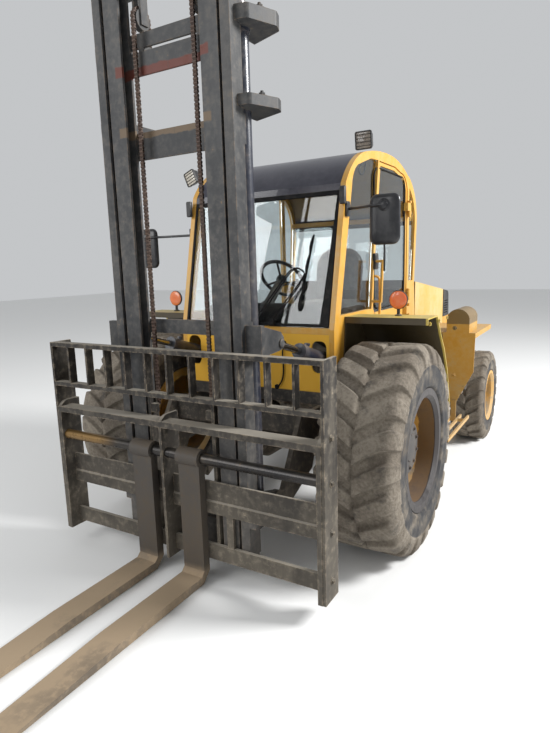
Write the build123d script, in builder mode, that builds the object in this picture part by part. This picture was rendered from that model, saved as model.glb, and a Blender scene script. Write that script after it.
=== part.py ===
# Rough terrain forklift: a rigid two-axle truck with big lugged drive tyres in front, a two-stage
# mast with a shaft-type fork carriage, a hollow cab, an engine hood and a cast counterweight.
# Side profiles are drawn in (y, z) from the ground under the front axle, rearwards and upwards.
import os
from math import asin, degrees, hypot, pi, sqrt

from build123d import *

os.makedirs("parts", exist_ok=True)

# Lengths along the machine, from the front axle
wheelbase = 2400
blade_length = 1219
shank_front = 932
rear_overhang = 550
rear_reach = wheelbase + rear_overhang
axle_y = (shank_front + blade_length - rear_reach) / 2

# Clearances
seat_gap = 0.3
run_fit = 0.05
slide_gap = 0.5
move_gap = 6

# Wheels and tyres
front_radius = 623
front_width = 470
front_lug_depth = 32
front_lugs = 22
front_bead = 318
front_flange = 366
front_track = 895
front_spindle = 50
rear_radius = 424
rear_width = 300
rear_lug_depth = 22
rear_lugs = 20
rear_bead = 210
rear_flange = 240
rear_track = 930
rear_spindle = 34
rim_wall = 12
rim_share = 0.88
bar_share = 0.56
slant_share = 0.62
lug_reach = 0.86
lug_gap = 0.01
kingpin_x = 690
kingpin_radius = 22
knuckle_half = 70
steer_arm = 150

# Chassis
frame_x = 500
frame_wall = 30
frame_top = 850
frame_bottom = 450
bed_low = 590
bed_high = 660
axle_half = 75
pivot_y = -600
pivot_z = 420
pivot_radius = 32
pivot_boss = 65
tail_half = 480
body_half = frame_x + 60
weight_length = 350
weight_front = rear_reach - weight_length
weight_bottom = 430
weight_top = 1150
tow_pin_radius = 20

# Mast
mast_half = 428
rail_front = -850
rail_depth = 90
rail_flange = 53
rail_wall = 15
outer_bottom = 110
inner_half = 357
inner_flange = 104
inner_wall = 14
inner_depth = 80
inner_bottom = 120
inner_top = 3203
outer_top = inner_top - 98
tube_radius = 40
tube_x = mast_half - tube_radius - 1
tube_y = -702
tube_bottom = 360
tube_top = outer_top - 246
rod_radius = 27
tie_wall = 15
sheave_x = 189
sheave_y = -750
sheave_z = inner_top - 235
sheave_radius = 56
sheave_width = 30
chain_width = 26
chain_depth = 20
chain_pitch = 101.6
chain_flats = 12

# Carriage, forks and load backrest
carriage_half = 898
carriage_front = -945
carriage_back = -800
carriage_top = 930
carriage_bottom = 100
end_wall = 26
shaft_y = -905
shaft_z = 716
shaft_radius = 29
collar_radius = shaft_radius + 20
fork_width = 140
shank_thick = 50
blade_thick = 45
blade_tip = 14
blade_low = 6
fork_left_x = 105
fork_right_x = -232
roller_plate_x = 212
roller_plate_wall = 20
backrest_half = 914.5
backrest_top = 1295
backrest_rail = 1055
backrest_bar = 12
backrest_pitch = 152.4
backrest_bars = 11
bar_depth = 50

# Tilt cylinders
tilt_x = 480
tilt_pin_y = -629
tilt_pin_z = 1313
tilt_anchor_y = 220
tilt_anchor_z = 1053
tilt_barrel_radius = 40
tilt_barrel_length = 600
tilt_rod_radius = 20
tilt_pin_radius = 15
anchor_half = 60
anchor_wall = 18

# Cab
cab_half = 582
cab_wall = 34
cab_front = -95
cab_back = 1540
cab_floor_z = 1100
floor_wall = 20
bulkhead_y = 1480
rear_sill = 1560
sill_z = 1190
cowl_top = 1320
cowl_bottom = frame_top + seat_gap
roof_wall = 14
door_front_low = 575
door_back = 1300
door_rail = 22
post_wall = 45
glass_wall = 8
header_low = 2150
header_depth = 50

# Fenders, decks, steps and tanks
fender_inner = cab_half + seat_gap
deck_outer = 1150
fender_step = 50
fender_outer = deck_outer - fender_step
fender_top = 1388
fender_front = 60
fender_drop = 40
sheet_wall = 8
deck_z = 1170
deck_front = 1190
deck_back = 1850
deck_lip = 38
step_z = 500
step_front = 640
step_back = 1320
tank_inner = body_half + 40
tank_outer = 960
tank_bottom = 640
tank_front = 1230
tank_back = 1780

# Hood and engine
hood_front = 1625
hood_back = weight_front - 10
hood_bottom = 1060
hood_front_top = 1542
hood_back_top = 1428
hood_wall = 10
shroud_front = hood_back + 24
hood_pin_y = hood_back + 10
hood_pin_z = hood_back_top + 4
hood_pin = 6


def side(x):
    """Profile plane at x: local x runs rearwards from the front axle, local y up."""
    return Plane(origin=(x, axle_y, 0), x_dir=(0, 1, 0), z_dir=(1, 0, 0))


def front(y):
    """Upright plane at y from the front axle, facing forwards: local x to the left, local y up."""
    return Plane(origin=(0, axle_y + y, 0), x_dir=(1, 0, 0), z_dir=(0, -1, 0))


def level(z):
    """Level plane at z, centred over the front axle."""
    return Plane(origin=(0, axle_y, z), x_dir=(1, 0, 0), z_dir=(0, 0, 1))


def block(plane, low, high):
    """Rectangle between two corners of a plane."""
    with BuildSketch(plane) as sketch:
        with Locations(((low[0] + high[0]) / 2, (low[1] + high[1]) / 2)):
            Rectangle(abs(high[0] - low[0]), abs(high[1] - low[1]))
    return sketch.sketch


def outline(plane, *points):
    """Straight-sided closed outline on a plane."""
    with BuildSketch(plane) as sketch:
        with BuildLine():
            Polyline(*points, close=True)
        make_face()
    return sketch.sketch


def disc(plane, centre, radius, bore=0):
    """Disc or ring on a plane."""
    with BuildSketch(plane) as sketch:
        with Locations(centre):
            Circle(radius)
            if bore:
                Circle(bore, mode=Mode.SUBTRACT)
    return sketch.sketch


def sheet(plane, wall, *points):
    """Folded sheet seen edge on: a polyline thickened to its right, square at both ends."""
    with BuildSketch(plane) as sketch:
        with BuildLine():
            Polyline(*points)
            offset(amount=wall, side=Side.RIGHT, kind=Kind.INTERSECTION)
        make_face()
    return sketch.sketch


def save(piece, name):
    """Label a finished piece and write it."""
    piece.part.label = name
    export_step(piece.part, f"parts/{name}.step")


# Wheels: built about their own axle, local z outwards, then set on the hub and mirrored
def facet_ring(radius, sides, along, inside=False):
    """Many-sided disc across the axle at a distance along it; an inside one has its flats at the radius."""
    with BuildSketch(Plane.XY.offset(along)) as ring:
        RegularPolygon(radius, sides, major_radius=not inside)
    return ring.sketch


def tyre_shape(radius, width, lug_depth, lugs, bead, flange):
    """Flat-sided tyre with two staggered rows of slanted bars, one side of the carcass to each bar."""
    half = width / 2
    tread = radius - lug_depth
    wall = tread - bead
    pitch = 2 * pi * radius / lugs
    bar = bar_share * pitch
    slant = slant_share * pitch
    corner = (bar + slant) / 2
    outer = lug_reach * half
    stations = [
        # distance along the axle, radius
        (-half, bead + 0.55 * wall),
        (-outer, tread),
        (outer, tread),
        (half, bead + 0.55 * wall),
    ]
    with BuildPart() as tyre:
        for (low, low_radius), (high, high_radius) in zip(stations, stations[1:]):
            loft(
                [facet_ring(low_radius, lugs, low), facet_ring(high_radius, lugs, high)],
                ruled=True,
            )
        base = tread - 0.16 * wall
        top = sqrt(radius**2 - corner**2)
        turn = degrees(asin(corner / radius))
        for row in (-1, 1):
            plane = Plane(origin=(base, 0, 0), x_dir=(0, 0, 1), z_dir=(1, 0, 0))
            with BuildPart(mode=Mode.PRIVATE) as lug:
                inner = lug_gap * width
                corners = [
                    (row * inner, -slant / 2 - bar / 2),
                    (row * inner, -slant / 2 + bar / 2),
                    (row * outer, slant / 2 + bar / 2),
                    (row * outer, slant / 2 - bar / 2),
                ]
                extrude(outline(plane, *corners), amount=top - base)
            with PolarLocations(0, lugs, start_angle=90 * (row + 1) / lugs - turn):
                add(lug.part)
        extrude(facet_ring(bead, lugs, -half, inside=True), amount=width, mode=Mode.SUBTRACT)
        for way in (-1, 1):
            seat = facet_ring(flange + seat_gap, lugs, way * (rim_share * half - seat_gap), inside=True)
            mouth = facet_ring(flange + 0.12 * wall, lugs, way * half, inside=True)
            loft([seat, mouth], ruled=True, mode=Mode.SUBTRACT)
    return tyre.part


def rim_shape(width, bead, flange, dish, hub, hub_back, spindle, bore_end, cap):
    """Dished disc wheel with its hub drum: one revolved section."""
    half = rim_share * width / 2
    seat = bead - seat_gap
    inside = seat - rim_wall
    lip = half + rim_wall
    section = [
        (flange, lip),
        (flange, half),
        (seat, half),
        (seat, -half),
        (flange, -half),
        (flange, -lip),
        (inside, -lip),
        (inside, dish - 16),
        (hub, dish - 16),
        (hub, hub_back),
        (spindle + run_fit, hub_back),
        (spindle + run_fit, bore_end),
        (0, bore_end),
        (0, cap),
        (0.55 * hub, cap),
        (0.8 * hub, dish + 30),
        (hub + 20, dish),
        (inside - 40, dish),
        (inside, dish + 40),
        (inside, lip - 20),
        (inside + 20, lip),
    ]
    with BuildPart() as rim:
        with BuildSketch(Plane.XZ):
            with BuildLine():
                Polyline(*section, close=True)
            make_face()
        revolve(axis=Axis.Z)
    return rim.part


front_hub_back = -150
front_bore_end = -20
rear_hub_back = -135
rear_bore_end = -10
front_hub = Plane(origin=(front_track, axle_y, front_radius), x_dir=(0, 1, 0), z_dir=(1, 0, 0))
rear_hub = Plane(
    origin=(rear_track, axle_y + wheelbase, rear_radius), x_dir=(0, 1, 0), z_dir=(1, 0, 0)
)
front_tyre = tyre_shape(front_radius, front_width, front_lug_depth, front_lugs, front_bead, front_flange)
front_rim = rim_shape(
    front_width, front_bead, front_flange, -70, 150, front_hub_back, front_spindle, front_bore_end, 60
)
rear_tyre = tyre_shape(rear_radius, rear_width, rear_lug_depth, rear_lugs, rear_bead, rear_flange)
rear_rim = rim_shape(
    rear_width, rear_bead, rear_flange, 10, 95, rear_hub_back, rear_spindle, rear_bore_end, 90
)
wheels = [
    # place, hub plane, tyre, rim
    ("front", front_hub, front_tyre, front_rim),
    ("rear", rear_hub, rear_tyre, rear_rim),
]
for place, hub_plane, tyre_solid, rim_solid in wheels:
    for kind, solid in (("tyre", tyre_solid), ("rim", rim_solid)):
        with BuildPart(hub_plane) as wheel_left:
            add(solid)
        save(wheel_left, f"{kind}_{place}_left")
        with BuildPart() as wheel_right:
            add(mirror(wheel_left.part, about=Plane.YZ, mode=Mode.PRIVATE))
        save(wheel_right, f"{kind}_{place}_right")

# Frame: two side plates with mast ears in front, joined by cross members and outriggers
frame_in = frame_x - frame_wall
crossings = [
    # front y, back y, low z, high z
    (-330, -290, 720, 850),
    (330, 380, 470, 640),
    (1120, 1170, 470, 700),
    (hood_front - 50, hood_front + 30, bed_low, bed_high),
    (wheelbase - 60, wheelbase + 60, bed_low, bed_high),
    (weight_front - 40, weight_front - seat_gap, bed_low, frame_top - 10),
]
frame_profile = [
    (pivot_y, pivot_z - pivot_boss),
    (-250, frame_bottom + 50),
    (-170, front_radius + axle_half + seat_gap),
    (170, front_radius + axle_half + seat_gap),
    (250, frame_bottom),
    (wheelbase - 350, frame_bottom),
    (wheelbase - 250, bed_low),
    (weight_front - seat_gap, bed_low),
    (weight_front - seat_gap, frame_top),
    (-380, frame_top),
    (pivot_y, pivot_z + pivot_boss),
]
outrigger_ys = (1330, 1680)
outrigger_deep = 60
with BuildPart() as frame:
    extrude(outline(side(frame_in), *frame_profile), amount=frame_wall)
    extrude(disc(side(frame_in), (pivot_y, pivot_z), pivot_boss), amount=frame_wall)
    extrude(
        disc(side(frame_in), (pivot_y, pivot_z), pivot_radius + run_fit),
        amount=frame_wall,
        mode=Mode.SUBTRACT,
    )
    for outrigger_y in outrigger_ys:
        foot = block(
            side(frame_x),
            (outrigger_y, tank_bottom - seat_gap - outrigger_deep),
            (outrigger_y + outrigger_deep, tank_bottom - seat_gap),
        )
        extrude(foot, amount=tank_outer - frame_x)
    # Tilt cylinder anchors: two cheeks on a foot, with the pin between them
    foot_z = frame_top - 60
    for cheek_x in (tilt_x - anchor_half, tilt_x + anchor_half - anchor_wall):
        cheek = outline(
            side(cheek_x),
            (tilt_anchor_y - 70, foot_z),
            (tilt_anchor_y - 32, tilt_anchor_z + 20),
            (tilt_anchor_y + 32, tilt_anchor_z + 20),
            (tilt_anchor_y + 90, foot_z),
        )
        extrude(cheek, amount=anchor_wall)
    extrude(
        block(side(tilt_x - anchor_half), (tilt_anchor_y - 70, foot_z), (tilt_anchor_y + 90, frame_top)),
        amount=2 * anchor_half,
    )
    extrude(
        disc(side(tilt_x - anchor_half + 1), (tilt_anchor_y, tilt_anchor_z), tilt_pin_radius),
        amount=2 * anchor_half - 2,
    )
    mirror(about=Plane.YZ)
    for near, far, low, high in crossings:
        extrude(block(side(-frame_in), (near, low), (far, high)), amount=2 * frame_in)
save(frame, "frame")

# Front axle: drive axle housing with brake drums and wheel spindles
front_drum = front_track + front_hub_back - move_gap
with BuildPart() as front_axle:
    with BuildSketch(front(0)):
        with BuildLine():
            Polyline(
                (0, front_radius),
                (0, front_radius + 190),
                (60, front_radius + 190),
                (150, front_radius + 130),
                (240, front_radius + axle_half),
                (front_drum - 90, front_radius + axle_half),
                (front_drum - 90, front_radius + 165),
                (front_drum, front_radius + 165),
                (front_drum, front_radius + front_spindle),
                (front_track + front_bore_end - 5, front_radius + front_spindle),
                (front_track + front_bore_end - 5, front_radius),
                close=True,
            )
        make_face()
    revolve(axis=Axis((0, axle_y, front_radius), (1, 0, 0)))
    mirror(about=Plane.YZ)
save(front_axle, "front_axle")

# Rear axle: steer beam on a centre pivot, with a clevis for each kingpin and the steer cylinder
beam_low = rear_radius - 70
beam_high = rear_radius + 70
beam_half = 60
beam_end = kingpin_x - 130
cheek_wall = 30
clevis_gap = seat_gap
steer_y = wheelbase + steer_arm
steer_rod_radius = 18
steer_z = rear_radius + 66
with BuildPart() as rear_axle:
    beam = block(side(-beam_end), (wheelbase - beam_half, beam_low), (wheelbase + beam_half, beam_high))
    extrude(beam, amount=2 * beam_end)
    pin_low = rear_radius - knuckle_half - clevis_gap - cheek_wall
    pin_length = 2 * (knuckle_half + clevis_gap + cheek_wall)
    # Clevis cheeks: tapered plates from the beam's end to the kingpin
    for cheek_low in (pin_low, pin_low + pin_length - cheek_wall):
        cheek = outline(
            level(cheek_low),
            (beam_end - 20, wheelbase - beam_half),
            (kingpin_x + 10, wheelbase - 45),
            (kingpin_x + 45, wheelbase - 20),
            (kingpin_x + 45, wheelbase + 20),
            (kingpin_x + 10, wheelbase + 45),
            (beam_end - 20, wheelbase + beam_half),
        )
        extrude(cheek, amount=cheek_wall)
    extrude(disc(level(pin_low), (kingpin_x, wheelbase), kingpin_radius), amount=pin_length)
    web = block(
        side(beam_end - 20),
        (wheelbase - beam_half, pin_low),
        (wheelbase + beam_half, pin_low + pin_length),
    )
    extrude(web, amount=44)
    mirror(about=Plane.YZ)
    # Centre trunnion up to the frame
    extrude(block(front(wheelbase + beam_half), (-90, beam_high - 20), (90, bed_low - seat_gap)),
            amount=2 * beam_half)
    # Steer cylinder barrel behind the beam
    extrude(block(side(-70), (wheelbase + 40, steer_z - 20), (steer_y, steer_z + 20)), amount=140)
    extrude(disc(side(-230), (steer_y, steer_z), 38), amount=460)
    extrude(
        disc(side(-230), (steer_y, steer_z), steer_rod_radius + run_fit), amount=460, mode=Mode.SUBTRACT
    )
save(rear_axle, "rear_axle")

# Steer rod: double-ended, with an eye over each steering arm
arm_top = steer_z - 24 - seat_gap
with BuildPart() as steer_rod:
    reach = kingpin_x - 20
    extrude(disc(side(-reach + 30), (steer_y, steer_z), steer_rod_radius), amount=2 * (reach - 30))
    for way in (-1, 1):
        extrude(disc(level(steer_z - 24), (way * reach, steer_y), 32), amount=48)
save(steer_rod, "steer_rod")

# Knuckles: kingpin barrel, wheel spindle and steering arm
spindle_start = kingpin_x + 46
spindle_end = rear_track + rear_bore_end - 5
with BuildPart() as knuckle_left:
    extrude(
        disc(level(rear_radius - knuckle_half), (kingpin_x, wheelbase), 42), amount=2 * knuckle_half
    )
    extrude(disc(side(kingpin_x), (wheelbase, rear_radius), 40), amount=60)
    extrude(disc(side(kingpin_x + 55), (wheelbase, rear_radius), knuckle_half - 4), amount=25)
    extrude(disc(side(kingpin_x), (wheelbase, rear_radius), rear_spindle), amount=spindle_end - kingpin_x)
    extrude(
        outline(
            level(arm_top - 30),
            (kingpin_x - 38, wheelbase),
            (kingpin_x + 38, wheelbase),
            (kingpin_x + 10, steer_y + 30),
            (kingpin_x - 50, steer_y + 30),
        ),
        amount=30,
    )
    extrude(
        disc(
            level(rear_radius - knuckle_half - 1), (kingpin_x, wheelbase), kingpin_radius + run_fit
        ),
        amount=2 * knuckle_half + 2,
        mode=Mode.SUBTRACT,
    )
save(knuckle_left, "knuckle_left")
with BuildPart() as knuckle_right:
    add(mirror(knuckle_left.part, about=Plane.YZ, mode=Mode.PRIVATE))
save(knuckle_right, "knuckle_right")

# Counterweight: cast block, narrow between the steered wheels and full width above them
wheel_clear = 870
with BuildPart() as counterweight:
    with BuildSketch(level(weight_bottom)):
        with Locations((0, (weight_front + rear_reach) / 2)):
            RectangleRounded(2 * tail_half, rear_reach - weight_front, 60)
    extrude(amount=wheel_clear - weight_bottom + 20)
    with BuildSketch(level(wheel_clear)):
        with Locations((0, (weight_front + rear_reach) / 2)):
            RectangleRounded(2 * body_half, rear_reach - weight_front, 60)
    extrude(amount=weight_top - wheel_clear)
    tow_z = 560
    extrude(
        block(front(rear_reach + 1), (-70, tow_z - 45), (70, tow_z + 45)),
        amount=121,
        mode=Mode.SUBTRACT,
    )
    extrude(
        disc(level(tow_z - 85), (0, rear_reach - 60), tow_pin_radius),
        amount=170,
        mode=Mode.SUBTRACT,
    )
    extrude(
        block(level(weight_bottom - 1), (-70, rear_reach - 120), (70, rear_reach + 1)),
        amount=tow_z - 85 - weight_bottom + 1,
        mode=Mode.SUBTRACT,
    )
save(counterweight, "counterweight")

# Engine: one plain block on the bed cross members
with BuildPart() as engine:
    extrude(block(level(bed_high + seat_gap), (-280, hood_front + 20), (280, weight_front - 220)), amount=600)
save(engine, "engine")

# Radiator shroud over the counterweight: a hollow cowl with side slots and rear slats
top_slope = (hood_back_top - hood_front_top) / (hood_back - hood_front)
shroud_foot = weight_top + seat_gap
shroud_back = rear_reach - 106
rear_lean = 0.115
shroud_slots = 6
shroud_slats = 7


def shroud_outline(inset, foot):
    """The shroud in side view, drawn inwards from its outside and open to the front and below."""
    near = shroud_front - (1 if inset else 0)
    return [
        (near, foot),
        (near, hood_back_top + top_slope * (near - hood_back) - inset),
        (rear_reach - 217, hood_back_top + top_slope * (weight_front + 133 - hood_back) - inset),
        (rear_reach - 155 - 0.5 * inset, hood_back_top - 28 - inset),
        (rear_reach - 131 - inset, hood_back_top - 54 - 0.5 * inset),
        (shroud_back - inset, foot),
    ]


with BuildPart() as radiator_grille:
    extrude(outline(side(-body_half), *shroud_outline(0, shroud_foot)), amount=2 * body_half)
    extrude(
        outline(side(-body_half + hood_wall), *shroud_outline(hood_wall, shroud_foot - 1)),
        amount=2 * (body_half - hood_wall),
        mode=Mode.SUBTRACT,
    )
    for slot in range(shroud_slots):
        slot_z = shroud_foot + 30 + 24 * slot
        extrude(
            block(side(-body_half - 1), (shroud_front + 36, slot_z), (shroud_back - 54, slot_z + 10)),
            amount=2 * body_half + 2,
            mode=Mode.SUBTRACT,
        )
    extrude(
        block(front(shroud_back + 1), (-450, shroud_foot + 30), (450, shroud_foot + 190)),
        amount=60,
        mode=Mode.SUBTRACT,
    )
    for slat in range(shroud_slats):
        slat_z = shroud_foot + 38 + 22 * slat
        slat_y = shroud_back - rear_lean * (slat_z - shroud_foot) - hood_wall
        extrude(block(side(-452), (slat_y - 8, slat_z), (slat_y + 7, slat_z + 8)), amount=904)
    # Hinge lugs and pins for the hood
    for lug_x in (350, 398):
        extrude(disc(side(lug_x), (hood_pin_y, hood_pin_z), hood_pin + 3), amount=12)
        lug = block(side(lug_x), (hood_pin_y, hood_pin_z - hood_pin - 3), (shroud_front + 3, hood_pin_z))
        extrude(lug, amount=12)
    extrude(disc(side(350), (hood_pin_y, hood_pin_z), hood_pin), amount=60)
    mirror(about=Plane.YZ)
save(radiator_grille, "radiator_grille")

# Outer mast: two channels opening inwards, rear ties, cylinder ears, tilt clevises, pivot lugs
rail_back = rail_front + rail_depth
web_x = mast_half - rail_wall
outer_ties = [
    # low z, high z, leg of the gusset above, leg of the gusset below
    (outer_bottom + 60, outer_bottom + 260, 0, 0),
    (1357, 1435, 0, 60),
    (outer_top - 816, outer_top - 678, 90, 0),
    (outer_top - 268, outer_top - 197, 0, 90),
]
ear_rows = [
    # low z, high z
    (outer_top - 654, outer_top - 604),
    (outer_top - 290, outer_top - 226),
]
chain_back_low = outer_top - 255
guide_y = rail_front + rail_depth / 2
inner_web_out = inner_half - 37
with BuildPart() as mast_outer:
    with BuildSketch(level(outer_bottom)):
        with BuildLine():
            Polyline(
                (mast_half, rail_front),
                (mast_half, rail_back),
                (mast_half - rail_flange, rail_back),
                (mast_half - rail_flange, rail_back - rail_wall),
                (web_x, rail_back - rail_wall),
                (web_x, rail_front + rail_wall),
                (mast_half - rail_flange, rail_front + rail_wall),
                (mast_half - rail_flange, rail_front),
                close=True,
            )
        make_face()
    extrude(amount=outer_top - outer_bottom)
    # Upper guide roller in the inner rail's outer channel
    inner_gap_half = inner_depth / 2 - inner_wall
    extrude(disc(side(inner_web_out + 5), (guide_y, outer_top - 120), inner_gap_half - slide_gap), amount=30)
    extrude(disc(side(inner_web_out + 20), (guide_y, outer_top - 120), 14), amount=web_x - inner_web_out - 20)
    # Pivot lug and pin
    extrude(
        outline(
            side(mast_half),
            (rail_front, pivot_z - 70),
            (pivot_y, pivot_z - 55),
            (pivot_y, pivot_z + 55),
            (rail_front, pivot_z + 130),
        ),
        amount=frame_in - mast_half - move_gap + 1,
    )
    extrude(disc(side(mast_half), (pivot_y, pivot_z), 55), amount=frame_in - mast_half - move_gap + 1)
    extrude(disc(side(mast_half), (pivot_y, pivot_z), pivot_radius), amount=frame_x - mast_half)
    # Cylinder foot and ears
    extrude(
        block(level(tube_bottom - 60), (tube_x - 40, rail_back), (mast_half, tube_y + tube_radius)),
        amount=60 - seat_gap,
    )
    for low, high in ear_rows:
        with BuildSketch(level(low)) as ear:
            with BuildLine():
                Polyline(
                    (tube_x - 42, rail_back),
                    (mast_half, rail_back),
                    (mast_half, rail_front + 40),
                    (mast_half + 60, rail_front + 50),
                    (mast_half + 125, rail_front + 210),
                    (mast_half + 105, rail_front + 270),
                    (tube_x - 42, rail_back + 250),
                    close=True,
                )
            make_face()
            fillet(ear.vertices().sort_by(Axis.X)[-3:], 28)
            with Locations((tube_x, tube_y)):
                Circle(tube_radius + seat_gap, mode=Mode.SUBTRACT)
        extrude(amount=high - low)
    # Tilt clevis on the outer web
    for cheek_x in (tilt_x - 43, tilt_x + 28):
        extrude(
            outline(
                side(cheek_x),
                (rail_front + 30, tilt_pin_z - 50),
                (tilt_pin_y, tilt_pin_z - 36),
                (tilt_pin_y + 30, tilt_pin_z - 15),
                (tilt_pin_y + 30, tilt_pin_z + 30),
                (tilt_pin_y, tilt_pin_z + 60),
                (rail_front + 30, tilt_pin_z + 110),
            ),
            amount=15,
        )
    extrude(
        block(side(mast_half), (rail_front + 30, tilt_pin_z - 50), (rail_front + 60, tilt_pin_z + 110)),
        amount=tilt_x + 43 - mast_half,
    )
    extrude(
        block(side(mast_half), (rail_front + 30, tilt_pin_z - 40), (rail_back, tilt_pin_z + 100)),
        amount=tilt_x - 43 - mast_half + 1,
    )
    extrude(disc(side(tilt_x - 43), (tilt_pin_y, tilt_pin_z), tilt_pin_radius), amount=86)
    # Gussets at the ties' ends and the chain's rear anchor
    for low, high, above, below in outer_ties:
        for root, leg, way in ((high - 1, above, 1), (low + 1, below, -1)):
            if leg:
                gusset = outline(
                    front(rail_back + tie_wall), (web_x, root), (web_x - leg, root), (web_x, root + way * leg)
                )
                extrude(gusset, amount=tie_wall)
    extrude(
        block(
            level(chain_back_low - 30),
            (sheave_x - chain_width / 2 - 6, rail_back + 1),
            (sheave_x + chain_width / 2 + 6, sheave_y + sheave_radius + chain_depth / 2),
        ),
        amount=30 - seat_gap,
    )
    mirror(about=Plane.YZ)
    for low, high, *_ in outer_ties:
        extrude(
            block(side(-mast_half), (rail_back, low), (rail_back + tie_wall, high)), amount=2 * mast_half
        )
save(mast_outer, "mast_outer")

# Lift cylinder barrels behind the outer rails
with BuildPart() as lift_barrels:
    extrude(
        disc(level(tube_bottom), (tube_x, tube_y), tube_radius, rod_radius + run_fit),
        amount=tube_top - tube_bottom,
    )
    mirror(about=Plane.YZ)
save(lift_barrels, "lift_barrels")

# Inner mast: two beams side by side with the outer rails, ties and the rod crosshead
inner_front = guide_y - inner_depth / 2
inner_back = inner_front + inner_depth
inner_in = inner_half - inner_flange
web_in = inner_web_out - inner_wall
inner_ties = [
    # low z, high z
    (inner_bottom + 20, inner_bottom + 200),
    (inner_top - 505, inner_top - 392),
    (inner_top - 110, inner_top),
]
head_low = inner_top - 79
with BuildPart() as mast_inner:
    with BuildSketch(level(inner_bottom)):
        with BuildLine():
            Polyline(
                (inner_half, inner_front),
                (inner_half, inner_front + inner_wall),
                (inner_web_out, inner_front + inner_wall),
                (inner_web_out, inner_back - inner_wall),
                (inner_half, inner_back - inner_wall),
                (inner_half, inner_back),
                (inner_in, inner_back),
                (inner_in, inner_back - inner_wall),
                (web_in, inner_back - inner_wall),
                (web_in, inner_front + inner_wall),
                (inner_in, inner_front + inner_wall),
                (inner_in, inner_front),
                close=True,
            )
        make_face()
    extrude(amount=inner_top - inner_bottom)
    # Lower guide roller in the outer channel
    outer_gap_half = rail_depth / 2 - rail_wall
    extrude(disc(side(web_x - 38), (guide_y, inner_bottom + 150), outer_gap_half - slide_gap), amount=34)
    extrude(disc(side(inner_web_out - 2), (guide_y, inner_bottom + 150), 14), amount=web_x - inner_web_out - 20)
    # Rod crosshead arms
    extrude(
        block(level(head_low), (inner_in, inner_back - inner_wall), (tube_x + 45, tube_y + 45)),
        amount=inner_top - head_low,
    )
    # Sheave fork under the top tie
    for cheek_x in (sheave_x - sheave_width / 2 - 14, sheave_x + sheave_width / 2 + 2):
        extrude(
            block(side(cheek_x), (sheave_y - 25, sheave_z - 30), (sheave_y + 25, inner_top - 110)), amount=12
        )
    extrude(disc(side(sheave_x - sheave_width / 2 - 14), (sheave_y, sheave_z), 14), amount=sheave_width + 28)
    extrude(
        block(level(inner_top - 110), (sheave_x - 29, sheave_y - 25), (sheave_x + 29, sheave_y + 25)), amount=40
    )
    mirror(about=Plane.YZ)
    for low, high in inner_ties:
        extrude(block(side(-inner_in), (inner_back - inner_wall, low), (inner_back, high)), amount=2 * inner_in)
save(mast_inner, "mast_inner")

with BuildPart() as lift_rods:
    extrude(disc(level(tube_bottom + 240), (tube_x, tube_y), rod_radius), amount=head_low - tube_bottom - 240)
    mirror(about=Plane.YZ)
save(lift_rods, "lift_rods")

with BuildPart() as sheaves:
    extrude(
        disc(side(sheave_x - sheave_width / 2), (sheave_y, sheave_z), sheave_radius - chain_depth / 2, 14 + seat_gap),
        amount=sheave_width,
    )
    mirror(about=Plane.YZ)
save(sheaves, "sheaves")

# Lift chains: leaf chain over each sheave, fixed to the inner mast, waisted between its pins
chain_front_low = 960


def chain_strand(y, low, high):
    """One straight run of leaf chain in side profile, waisted between its pins."""
    count = int((high - low) / chain_pitch)
    pitch = (high - low) / count
    half, waist = chain_depth / 2, chain_depth / 2 - 4
    rows = []
    for link in range(count):
        z = low + link * pitch
        rows += [(half, z), (waist, z + pitch / 2)]
    rows.append((half, high))
    right = [(y + dy, z) for dy, z in rows]
    left = [(y - dy, z) for dy, z in reversed(rows)]
    return right + left


with BuildPart() as lift_chains:
    for y, low in ((sheave_y - sheave_radius, chain_front_low), (sheave_y + sheave_radius, chain_back_low)):
        extrude(
            outline(side(sheave_x - chain_width / 2), *chain_strand(y, low, sheave_z)), amount=chain_width
        )
    with BuildSketch(side(sheave_x - chain_width / 2)):
        with Locations((sheave_y, sheave_z)):
            RegularPolygon(sheave_radius + chain_depth / 2, chain_flats, major_radius=False)
            RegularPolygon(
                sheave_radius - chain_depth / 2 + seat_gap, chain_flats, major_radius=False, mode=Mode.SUBTRACT
            )
        with Locations((sheave_y, sheave_z - sheave_radius)):
            Rectangle(4 * sheave_radius, 2 * sheave_radius, mode=Mode.SUBTRACT)
    extrude(amount=chain_width)
    mirror(about=Plane.YZ)
save(lift_chains, "lift_chains")

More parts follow.
